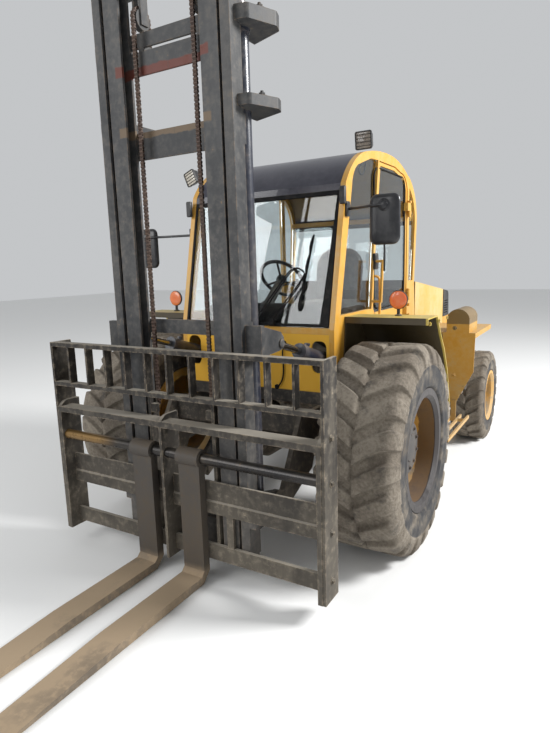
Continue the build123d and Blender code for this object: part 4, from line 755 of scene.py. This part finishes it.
for side, way in SIDES:
    place = (way * SHEAVE_X, SHEAVE_Y, SHEAVE_Z)
    piece = turned(
        f"sheave_{side}", wheel, place, LEFT, mast_grey, "mast_inner", "worn_steel",
        steps=44, caps=False,
    )
    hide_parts("sheaves")


# Carriage, shaft, forks and load backrest. Thick plate and bars, dark grey and scraped, the forks forged
# steel worn bright brown along the blades, and a turned shaft, black with grease and rusty at one end.
carriage_grey = worn(
    "carriage grey", (0.017, 0.016, 0.016), (0.038, 0.034, 0.030), 1.0, 0.62, 0.5, (0.27, 0.215, 0.155),
    (0.26, 0.225, 0.175), 0.007, bump=0.5, depth=0.003, specular=0.2,
)
# A pale coat on the carriage's upward faces: settled dust, plus a painted highlight from above.
coat_over(carriage_grey, [looking(carriage_grey, 0.4, 0.9)], (0.36, 0.33, 0.28), 0.55)
fork_steel = worn(
    "fork steel", (0.055, 0.048, 0.042), (0.11, 0.095, 0.078), 0.7, 1.3, 0.42, (0.22, 0.13, 0.075),
    (0.33, 0.25, 0.165), 0.006, metallic=0.2, bump=0.4, depth=0.002,
)
coat_over(fork_steel, [zone(fork_steel, "Z", 0.085, 1.0, 0.03, 0.03)], (0.036, 0.033, 0.031), 0.8)
shaft_steel = worn(
    "shaft steel", (0.014, 0.014, 0.016), (0.034, 0.030, 0.026), 0.4, 0.08, 0.22, (0.16, 0.10, 0.05),
    edge=0.002, metallic=0.6, bump=0.2,
)
make = Maker(shaft_steel.node_tree)
rusty_end = make.span(make.part(make.where(), "X"), -0.40, -0.62)
coat_over(shaft_steel, [rusty_end], (0.25, 0.145, 0.045), 0.8)
paint(carriage_grey, "carriage", "backrest")
paint(fork_steel, "fork_left", "fork_right")
paint(shaft_steel, "fork_shaft")
look = carriage_grey, "carriage", "backrest_paint"
for side, way in SIDES:
    rest_bolts = [((way * 0.9146, AXLE_Y - 0.87, z), (way, 0, 0)) for z in (0.20, 0.45, 0.70, 0.92)]
    bolts(f"backrest_bolts_{side}", rest_bolts, 0.024, 0.012, *look, stud=0.006)


# Tilt cylinders. Painted barrels with chromed rods, a hose port near each end of a barrel, and clevis pins
# with washered heads in the mast's ears.
boss = [(0.015, -0.004), (0.015, 0.014), (0.018, 0.014), (0.018, 0.026), (0.010, 0.028)]
pin_head = [(0.024, 0.0), (0.024, 0.008), (0.019, 0.011), (0.001, 0.011)]
for side, way in SIDES:
    foot, eye = Vector((way * 0.480, AXLE_Y + 0.220, 1.053)), Vector((way * 0.480, AXLE_Y - 0.629, 1.313))
    lean = (eye - foot).normalized()
    for name, far in (("rear", 0.09), ("front", 0.50)):
        seat = foot + lean * far + Vector((0, 0, 0.034))
        look = barrel_blue, f"tilt_barrel_{side}", "barrel_paint"
        turned(f"tilt_port_{name}_{side}", boss, seat, Vector(UP) - lean * lean.z, *look, steps=12)
    for name, x, out in (("out", 0.5232, way), ("in", 0.4368, -way)):
        pin_place = (way * x, eye.y, eye.z)
        turned(f"tilt_pin_{name}_{side}", pin_head, pin_place, (out, 0, 0), *mast_look, steps=20)


# Cab shell. A welded frame of bent tube painted the body's yellow, a dark floor and dash, tinted glass in
# black rubber seals, a glossy navy roof skin, and on the front window two double-armed wipers.
cab_dark = worn("cab dark", (0.020, 0.020, 0.022), (0.045, 0.043, 0.040), 0.35, 0.45, 0.5, specular=0.25)
seal_rubber = worn(
    "seal rubber", (0.006, 0.006, 0.007), (0.014, 0.014, 0.015), 0.2, 0.1, 0.6, (0.03, 0.03, 0.03),
    edge=0.001, bump=0.1, specular=0.15,
)
roof_navy = worn(
    "roof navy", (0.010, 0.010, 0.024), (0.026, 0.026, 0.044), 0.12, 0.12, 0.24,
    dust=(0.14, 0.13, 0.14), coat=0.3,
)
film, ins, outs = shader_group(
    "window film",
    [
        ("Clear", COLOUR, (0.86, 0.92, 0.93, 1)), ("Film", COLOUR, (0.55, 0.53, 0.48, 1)),
        ("Dirt", NUMBER, 0.3),
    ],
)
smear = film.noise(film.where(), 3.5, 6.0, 0.6)
filmed = film.times(film.span(smear, 0.42, 0.78), ins["Dirt"])
film.fill(outs, {
    "Color": film.blend(filmed, ins["Clear"], ins["Film"]),
    "Roughness": film.span(filmed, 0.0, 1.0, 0.015, 0.35), "Height": smear,
})
glass = material("window glass", film, {"Dirt": 0.25}, bump=0.02)
shader = glass.node_tree.nodes["Principled BSDF"]
Maker(glass.node_tree).fill(shader, {"Transmission Weight": 1.0, "IOR": 1.45})
# Painted shade: the roof's downward faces are a dark orange, the yellow underside as it looks in shade.
coat_over(roof_navy, [looking(roof_navy, -0.15, -0.35)], (0.26, 0.165, 0.065), 0.95)
cowl = [zone(cab_dark, "Y", -0.60, -0.478), zone(cab_dark, "Z", 0.93, 1.40), zone(cab_dark, "X", 0.0, 0.56)]
coat_over(cab_dark, cowl, (0.76, 0.42, 0.045))
paint(body_yellow, "cab_frame", "cab_door")
paint(cab_dark, "cab_tub")
paint(roof_navy, "cab_roof")
paint(glass, "cab_glass", "door_glass")


def on_screen(x, z, out=0.0):
    """A place on the front window's outer face, which leans back."""
    return Vector((x, AXLE_Y - 0.095 + (z - 1.320) * 0.19 / 0.87 + 0.008 - out, z))


def strip(name, path, widths, lift, across, finish, body, slot):
    """A flat moulding along a path, as wide as the widths say and lifted in the middle."""
    rings = []
    for spot, width in zip(path, widths):
        half = Vector(across).normalized() * width / 2
        rings.append([spot - half, spot - half * 0.8 + lift, spot + half * 0.8 + lift, spot + half])
    return from_rings(name, rings, finish, body, sharp=25)


look = seal_rubber, "chassis", "black_plastic"
outward = Vector((0, -0.977, 0.213)) * 0.009
for side, way, low_width in (("left", 1, 0.070), ("right", -1, 0.022)):
    widths = (low_width, (low_width + 0.016) / 2, 0.016)
    path = [on_screen(way * (0.547 - width / 2), z) for z, width in zip((1.335, 1.70, 2.140), widths)]
    strip(f"screen_seal_{side}", path, widths, outward, LEFT, *look)
for name, z, width in (("sill", 1.343, 0.020), ("head", 2.135, 0.030)):
    path = [on_screen(x, z) for x in (-0.54, 0.0, 0.54)]
    strip(f"screen_seal_{name}", path, (width,) * 3, outward, (0, 0.213, 0.977), *look)

blade_low, blade_high = (0.334, 1.430), (0.396, 1.889)
carrier = on_screen(*((low + high) / 2 for low, high in zip(blade_low, blade_high)), 0.032)
spindle = [(0.020, -0.028), (0.022, -0.004), (0.022, 0.004), (0.018, 0.010), (0.001, 0.011)]
for name, pivot, tip in (
    ("outer", (0.155, 1.362), (0.352, 1.618)), ("inner", (0.032, 1.362), (0.300, 1.732)),
):
    foot, top = on_screen(*pivot, 0.030), on_screen(*tip, 0.030)
    beside = (top - foot).normalized().cross(outward.normalized()) * 0.007
    for arm, shift in (("one", beside), ("two", -beside)):
        path = [foot + shift * 1.3, foot.lerp(top, 0.5) + shift, top + shift * 0.7, carrier]
        tube(f"wiper_{name}_arm_{arm}", path, 0.0042, *look, sides=3)
    turned(f"wiper_{name}_spindle", spindle, foot, outward, *look, steps=20)
blade, claws = [], []
for n in range(17):
    x, z = (low + (high - low) * n / 16 for low, high in zip(blade_low, blade_high))
    blade.append(on_screen(x, z, 0.008))
    claws.append(on_screen(x, z, 0.010 if n % 4 == 0 else 0.030))
tube("wiper_blade", blade, 0.006, *look, sides=3)
tube("wiper_blade_claws", claws, 0.0045, *look, sides=3)
loom = [
    (0.530, 0.19, 2.405), (0.545, 0.10, 2.375), (0.535, -0.02, 2.315), (0.545, 0.02, 2.262),
    (0.535, 0.12, 2.325), (0.530, 0.13, 2.40),
]
tube("roof_loom", loom, 0.006, *look)
cowl_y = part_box("cab_tub")[0][1]
grommet = [(0.016, -0.003), (0.016, 0.004), (0.011, 0.007), (0.006, 0.003), (0.001, 0.002)]
for n, (x, z) in enumerate(((0.236, 1.229), (-0.236, 1.229), (0.175, 0.942))):
    turned(f"cowl_grommet_{n}", grommet, (x, cowl_y, z), FRONT, *look, steps=20)
lead = (
    (0.236, 1.229, 0.0), (0.234, 1.20, 0.020), (0.229, 1.139, 0.012), (0.235, 1.055, 0.012),
    (0.222, 0.985, 0.012), (0.19, 0.945, 0.016), (0.175, 0.942, 0.0),
)
tube("cowl_lead", [(x, cowl_y - out, z) for x, z, out in lead], 0.005, *look, sides=3)
binnacle = [
    (-0.10, 0.42, 0.075, 0.03), (-0.06, 0.44, 0.085, 0.035), (0.02, 0.44, 0.085, 0.04),
    (0.055, 0.42, 0.06, 0.04), (0.062, 0.39, 0.03, 0.029),
]
cover("dash_binnacle", (0, -0.335, 1.405), (0, 0.35, 0.94), BACK, binnacle, *look)


# Door. A bent tube frame with glass in a rubber seal, hung at its rear edge on two welded pin hinges, with
# a bent grab bar and a moulded latch on its front edge.
rail_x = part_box("cab_door")[0][0] + 0.010
hinge = [(0.014, -0.045), (0.014, 0.045), (0.010, 0.050), (0.001, 0.051)]
look = body_yellow, "door", "door_paint"
for z in (1.45, 2.10):
    turned(f"door_hinge_{round(z * 100)}", hinge, (0.598, 0.9065, z), UP, *look, steps=16)
grab = ((0.0, 1.30), (0.035, 1.30), (0.045, 1.34), (0.045, 1.58), (0.035, 1.62), (0.0, 1.62))
grab_y = {0.0: 0.205, 0.035: 0.210, 0.045: 0.212}
tube("door_grab", [(rail_x + out, grab_y[out], z) for out, z in grab], 0.009, *look)
latch = [(0.0, 0.028, 0.055, 0.010), (0.020, 0.028, 0.055, 0.010), (0.026, 0.022, 0.048, 0.010)]
latch_look = black_plastic, "door", "black_plastic"
cover("door_latch", (rail_x + 0.010, 0.185, 1.72), LEFT, UP, latch, *latch_look)
pane_low, pane_high = (Vector(corner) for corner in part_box("door_glass"))
pane_middle, pane_half = (pane_low + pane_high) / 2, (pane_high - pane_low) / 2
pane_middle.x = pane_high.x + 0.002
edge = rounded_ring(pane_middle, BACK, UP, pane_half.y - 0.02, pane_half.z - 0.02, 0.08)
tube("door_seal", edge, 0.006, seal_rubber, "door", "black_plastic", closed=True)


# Seat. Two cushions of dark grey cloth over foam, puffed out, on a black suspension box with a folded
# rubber bellows.
seat_cloth = worn(
    "seat cloth", (0.035, 0.036, 0.040), (0.070, 0.070, 0.074), 0.3, 0.5, 0.8, (0.09, 0.085, 0.08),
    edge=0.003, bump=0.35, depth=0.001,
)
plastic = black_plastic, "chassis", "black_plastic"
folds = [(n, 0.016 if n % 2 else 0.0) for n in range(7)]
bellows = [(0.03 * n, 0.20 - fold, 0.22 - fold, 0.03) for n, fold in folds]
base = cover("seat_base", (0, 0.66, 1.102), UP, BACK, bellows, *plastic)
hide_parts("seat")


def cushion(name, centre, along, upward, sections, puff):
    """A stuffed cushion: a closed cover blown up a little from inside like a cloth bag."""
    pad = cover(name, centre, along, upward, sections, seat_cloth, "chassis", "seat_vinyl")
    flat = pad.data
    remesh = pad.modifiers.new("even", "REMESH")
    remesh.mode = "VOXEL"
    remesh.voxel_size = 0.010
    even = bpy.data.meshes.new_from_object(pad.evaluated_get(bpy.context.evaluated_depsgraph_get()))
    pad.modifiers.clear()
    pad.data = even
    even.materials.clear()
    even.materials.append(seat_cloth)
    bpy.data.meshes.remove(flat)
    cloth = pad.modifiers.new("bag", "CLOTH")
    cloth.settings.use_pressure = True
    cloth.settings.uniform_pressure_force = 4.0
    cloth.settings.effector_weights.gravity = 0.0
    for step in range(1, 21):
        bpy.context.scene.frame_set(step)
    blown = pad.evaluated_get(bpy.context.evaluated_depsgraph_get()).to_mesh()
    moved_to = [vertex.co.copy() for vertex in blown.vertices]
    pad.modifiers.clear()
    bpy.context.scene.frame_set(1)
    for vertex, place in zip(even.vertices, moved_to):
        step = place - vertex.co
        vertex.co += step.normalized() * min(step.length, puff) if step.length > 1e-9 else step
    for polygon in even.polygons:
        polygon.use_smooth = True


bottom = [
    (0.0, 0.19, 0.19, 0.05), (0.012, 0.23, 0.23, 0.07), (0.060, 0.24, 0.24, 0.08),
    (0.100, 0.235, 0.235, 0.08), (0.118, 0.20, 0.20, 0.07),
]
cushion("seat_cushion", (0, 0.69, 1.285), UP, BACK, bottom, 0.016)
back = [
    (0.0, 0.17, 0.23, 0.12), (0.012, 0.21, 0.265, 0.16), (0.060, 0.22, 0.275, 0.17),
    (0.095, 0.20, 0.26, 0.16), (0.108, 0.16, 0.22, 0.12),
]
cushion("seat_back", (0, 0.935, 1.575), (0, -0.985, 0.17), (0, 0.17, 0.985), back, 0.016)


# Steering. A slim moulded wheel with three spokes on a leaning column, which stands in a rubber boot, and
# a travel lever with a round knob beside it.
wheel_axis = Vector((0, 0.77, 0.64)).normalized()
wheel_hub, wheel_radius = Vector((0, AXLE_Y + 0.312, 1.618)), 0.160
rim_line = [spot for spot, _ in ring_of(28, wheel_radius - 0.004, wheel_hub, wheel_axis)]
rim = tube("steering_rim", rim_line, 0.0125, *plastic, closed=True)
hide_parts("steering_column")
for n, (spot, _) in enumerate(ring_of(3, wheel_radius - 0.008, wheel_hub, wheel_axis, math.pi / 2)):
    spoke = [wheel_hub - wheel_axis * 0.012, wheel_hub.lerp(spot, 0.5) - wheel_axis * 0.008, spot]
    tube(f"steering_spoke_{n}", spoke, 0.0075, *plastic)
column = [
    (0.060, -0.36), (0.050, -0.33), (0.056, -0.30), (0.044, -0.27), (0.034, -0.25), (0.030, -0.06),
    (0.022, -0.05), (0.022, -0.03), (0.036, -0.020), (0.036, 0.004), (0.026, 0.012), (0.001, 0.014),
]
turned("steering_post", column, wheel_hub, wheel_axis, *plastic, steps=28)
lever_foot = wheel_hub - wheel_axis * 0.075
lever = [lever_foot + Vector(step) for step in ((0, 0, 0), (0.07, 0.0, 0.005), (0.135, 0.004, 0.03))]
tube("travel_lever", lever, 0.0055, *plastic)
knob = [(0.006, 0.0), (0.012, 0.006), (0.013, 0.016), (0.008, 0.026), (0.001, 0.028)]
turned("travel_knob", knob, lever[-1], (0.9, 0, 0.4), *plastic, steps=16)


# Mudguards and decks. Folded yellow sheet with a stiff rolled lip, bolted to brackets, and decks of plate
# with pressed step treads.
deck_yellow = worn(
    "deck yellow", (0.45, 0.225, 0.024), (0.50, 0.31, 0.075), 0.8, 0.6, 0.38, (0.11, 0.060, 0.028), coat=0.1,
)
# The mudguards' yellow is greener than the body's; the green cast is a painted reflection.
fender_yellow = worn("mudguard yellow", (0.46, 0.33, 0.030), (0.54, 0.41, 0.10), 0.7, 0.4, 0.34, coat=0.1)
# Painted shade with mud: inside the arches, faces that don't look up are made nearly black.
arch_shade_and_mud = [
    zone(fender_yellow, "X", 0.0, 1.088), zone(fender_yellow, "Y", -0.445, 0.60),
    looking(fender_yellow, 0.4, 0.2),
]
coat_over(fender_yellow, arch_shade_and_mud, (0.030, 0.022, 0.016), 0.94)
paint(fender_yellow, "front_fenders")
# Painted shade: the decks are darkened to brown from 1.235 to 1.40 m up.
coat_over(deck_yellow, [zone(deck_yellow, "Z", 1.235, 1.40, 0.01)], (0.115, 0.085, 0.045), 0.85)
paint(deck_yellow, "side_decks")
fender_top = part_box("front_fenders")[1]
deck_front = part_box("side_decks")[0][1]
for side, way in SIDES:
    lip_bolts = [((way * fender_top[0], y, fender_top[2] - 0.035), (way, 0, 0)) for y in (-0.30, -0.10, 0.10)]
    bolts(f"fender_bolts_{side}", lip_bolts, 0.016, 0.008, fender_yellow, "chassis", "deck_paint")
    front_bolts = [((way * x, deck_front, z), FRONT) for x in (0.98, 1.12) for z in (1.27, 0.95)]
    bolts(f"deck_bolts_{side}", front_bolts, 0.018, 0.010, deck_yellow, "chassis", "deck_paint")


# Hood. Pressed yellow sheet hinged at the back, paler and creamier than the body, which is painted sunlight,
# held down by two rubber draw latches on each side, each a moulded plate with a pull.
# Painted sunlight: the hood's paint is a paler, creamier yellow than the body's.
sunlit_hood_yellow = worn("sunlit hood yellow", (0.58, 0.34, 0.060), (0.62, 0.47, 0.21), 0.5, 0.30, 0.34, coat=0.1)
paint(sunlit_hood_yellow, "hood")
hood_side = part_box("hood")[1][0]
look = black_plastic, "hood", "black_plastic"
plate = [(0.0, 0.020, 0.040, 0.008), (0.006, 0.020, 0.040, 0.008), (0.010, 0.015, 0.034, 0.007)]
pull = [(0.008, 0.0), (0.009, 0.010), (0.014, 0.012), (0.014, 0.020), (0.001, 0.021)]
for side, way in SIDES:
    for n, y in enumerate((1.36, 1.98)):
        cover(f"hood_latch_{side}_{n}", (way * hood_side, y, 1.105), (way, 0, 0), UP, plate, *look)
        pull_place = (way * (hood_side + 0.008), y, 1.118)
        turned(f"hood_pull_{side}_{n}", pull, pull_place, (way, 0, 0), *look, steps=16)


# Lamps. Work lamps with ribbed housings and pale lenses on the roof's edges, round amber lamps on short
# stems over the mudguards, and narrow clearance lamps on the front posts.
lens_look = {"edge": 0.002, "coat": 0.6, "bump": 0.1}
pale_lens, dusky_lens = (
    worn(name, fresh, faded, 0.3, 0.4, 0.18, (0.30, 0.25, 0.19), **lens_look)
    for name, fresh, faded in (
        ("pale lens", (0.62, 0.58, 0.50), (0.50, 0.45, 0.37)),
        ("dusky lens", (0.17, 0.145, 0.125), (0.26, 0.22, 0.18)),
    )
)
amber_lens = worn(
    "amber lens", (0.72, 0.13, 0.030), (0.80, 0.24, 0.07), 0.3, 0.3, 0.25, (0.40, 0.10, 0.04), **lens_look,
)
look = black_plastic, "chassis", "lamp_plastic"
stand_ins = []
for name, centre, aim, upward, half, lens_finish in (
    ("left", (0.568, 0.0355, 2.485), (0.0, -0.99, -0.12), (0, -0.12, 0.99), 0.056, dusky_lens),
    ("right", (-0.644, -0.2145, 2.346), (-0.10, -0.98, -0.14), (-0.33, -0.08, 0.94), 0.050, pale_lens),
):
    centre, aim, upward = Vector(centre), Vector(aim).normalized(), Vector(upward).normalized()
    shell = [
        (far, half * share, half * share, corner)
        for far, share, corner in (
            (-0.034, 0.62, 0.012), (-0.028, 0.80, 0.012), (0.012, 0.93, 0.012), (0.016, 1, 0.012),
            (0.030, 1, 0.012), (0.031, 0.90, 0.010), (0.024, 0.88, 0.010),
        )
    ]
    stand_ins.append(cover(f"work_lamp_{name}", centre, aim, upward, shell, *look, sharp=25))
    crown = ((0.020, 0.88), (0.026, 0.87), (0.029, 0.70))
    lens = [(far, half * share, half * share, 0.010) for far, share in crown]
    cover(f"work_lens_{name}", centre, aim, upward, lens, lens_finish, "chassis", "lamp_plastic")
    reach = upward.cross(aim).normalized() * half * 0.9
    for n, share in enumerate((-0.6, -0.2, 0.2, 0.6)):
        middle = centre + aim * 0.031 + upward * half * share
        tube(f"work_guard_{name}_{n}", [middle - reach, middle, middle + reach], 0.0022, *look, sides=2)
pod = [(0.030, 0.014), (0.052, 0.010), (0.0575, 0.004), (0.0575, -0.006), (0.054, -0.008)]
disc = [(0.054, 0.006), (0.054, 0.010), (0.046, 0.015), (0.026, 0.0168), (0.001, 0.0170)]
stem = [(0.022, -0.097), (0.022, -0.092), (0.010, -0.086), (0.010, -0.050), (0.016, -0.046)]
case = [(0.012, 0.0185, 0.052, 0.006), (-0.006, 0.0185, 0.052, 0.006), (-0.012, 0.015, 0.047, 0.006)]
for side, way in SIDES:
    centre = (way * 0.880, AXLE_Y + 0.198, 1.485)
    turned(f"amber_pod_{side}", pod, centre, BACK, *look, steps=32)
    turned(f"amber_lens_{side}", disc, centre, FRONT, amber_lens, "chassis", "lamp_plastic", steps=32)
    turned(f"amber_stem_{side}", stem, centre, UP, *look, steps=16)
    cover(f"marker_{side}", (way * 0.5815, AXLE_Y + 0.045, 2.1135), BACK, UP, case, *look)
for piece in stand_ins:
    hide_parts("lamps")


# Mirrors. Crowned black plastic housings on a ball joint with glass facing back, each on a bent steel rod
# clamped to the front post.
mirror_plastic = worn(
    "mirror plastic", (0.010, 0.010, 0.012), (0.020, 0.021, 0.025), 0.15, 0.06, 0.24, (0.03, 0.03, 0.03),
    edge=0.002, bump=0.05,
)
silvering = worn(
    "mirror glass", (0.75, 0.78, 0.80), (0.66, 0.68, 0.69), 0.1, 0.15, 0.03, (0.4, 0.4, 0.4),
    edge=0.001, metallic=1.0, bump=0.01,
)
shell = [
    (0.018, 0.0845, 0.1365, 0.040), (0.010, 0.0905, 0.1425, 0.042), (0.0, 0.0905, 0.1425, 0.042),
    (-0.009, 0.084, 0.136, 0.042), (-0.015, 0.066, 0.118, 0.040), (-0.018, 0.030, 0.080, 0.025),
]
face = [(0.0178, 0.078, 0.130, 0.036), (0.0186, 0.077, 0.129, 0.036)]
ball = [
    (0.038, -0.004), (0.037, 0.007), (0.030, 0.010), (0.027, 0.011), (0.024, 0.019), (0.014, 0.024),
    (0.001, 0.025),
]
clamp = [(-0.002, 0.024, 0.045, 0.008), (0.012, 0.024, 0.045, 0.008), (0.015, 0.019, 0.040, 0.008)]
look = mirror_plastic, "chassis", "black_plastic"
for side, way, head_x, head_z, arm_y, arm_z in (
    ("left", 1, 0.841, 1.956, 0.100, 2.035), ("right", -1, 0.990, 1.860, 0.076, 1.939),
):
    centre = Vector((way * head_x, AXLE_Y + 0.048, head_z))
    head = cover(f"mirror_head_{side}", centre, BACK, UP, shell, *look, sharp=50)
    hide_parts("mirrors")
    cover(f"mirror_glass_{side}", centre, BACK, UP, face, silvering, "chassis", "black_plastic")
    knuckle = centre + Vector((0, -0.012, arm_z - head_z))
    turned(f"mirror_ball_{side}", ball, knuckle, FRONT, *look, steps=24)
    arm = [(way * x, AXLE_Y + y, arm_z) for x, y in ((0.5830, arm_y), (0.62, arm_y), (head_x - 0.14, 0.06))]
    arm += [knuckle + Vector((-way * 0.06, -0.020, 0)), knuckle + Vector((0, -0.016, 0))]
    tube(f"mirror_arm_{side}", arm, 0.0085, *look)
    rod = [centre - Vector((0, 0, drop)) for drop in (0.13, 0.21, 0.293)]
    tube(f"mirror_rod_{side}", rod, 0.0065, *look)
    cover(f"mirror_clamp_{side}", (way * 0.5835, AXLE_Y + arm_y, arm_z), (way, 0, 0), UP, clamp, *look)


# Floor, light and camera. A pale studio floor, one large soft key light and a fill, and the camera where
# the photograph was taken.
floor_mesh = bpy.data.meshes.new("floor")
floor_mesh.from_pydata([(-30, -30, 0), (30, -30, 0), (30, 30, 0), (-30, 30, 0)], [], [(0, 1, 2, 3)])
floor = bpy.data.objects.new("floor", floor_mesh)
link(floor)
pale = bpy.data.materials.new("pale floor")
pale.use_nodes = True
pale_look = {"Base Color": (0.8, 0.8, 0.79, 1), "Roughness": 0.9}
Maker(pale.node_tree).fill(pale.node_tree.nodes["Principled BSDF"], pale_look)
floor_mesh.materials.append(pale)

scene = bpy.context.scene
scene.world = bpy.data.worlds.new("studio")
scene.world.use_nodes = True
sky = scene.world.node_tree
Maker(sky).fill(sky.nodes["Background"], {"Color": (0.86, 0.88, 0.9, 1), "Strength": 0.64})
for name, place, size, power in (("key", (7.5, 2.5, 6.0), 2.5, 1250), ("fill", (-4, -8, 5), 5.0, 420)):
    data = bpy.data.lights.new(name, "AREA")
    data.size = size
    data.energy = power
    lamp = bpy.data.objects.new(name, data)
    lamp.location = place
    lamp.rotation_mode = "QUATERNION"
    lamp.rotation_quaternion = (Vector((0, -0.5, 1.0)) - Vector(place)).to_track_quat("-Z", "Y")
    link(lamp)

yaw, pitch, roll = math.radians(30.8), math.radians(10.42), math.radians(-1.67)
ahead = Vector((-math.sin(yaw) * math.cos(pitch), math.cos(yaw) * math.cos(pitch), -math.sin(pitch)))
right = Vector((math.cos(yaw), math.sin(yaw), 0))
level_up = right.cross(ahead)
across = right * math.cos(roll) + level_up * math.sin(roll)
upright = level_up * math.cos(roll) - right * math.sin(roll)
sensor, focal_pixels, photo_height = 36, 551.77, 733
camera_data = bpy.data.cameras.new("camera")
camera_data.sensor_width = sensor
camera_data.lens = focal_pixels / photo_height * sensor
camera = bpy.data.objects.new("camera", camera_data)
turn = Matrix((across, upright, -ahead)).transposed().to_4x4()
camera.matrix_world = Matrix.Translation((1.953, -3.4965, 1.715)) @ turn
link(camera)
scene.camera = camera
scene.view_settings.view_transform = "Standard"
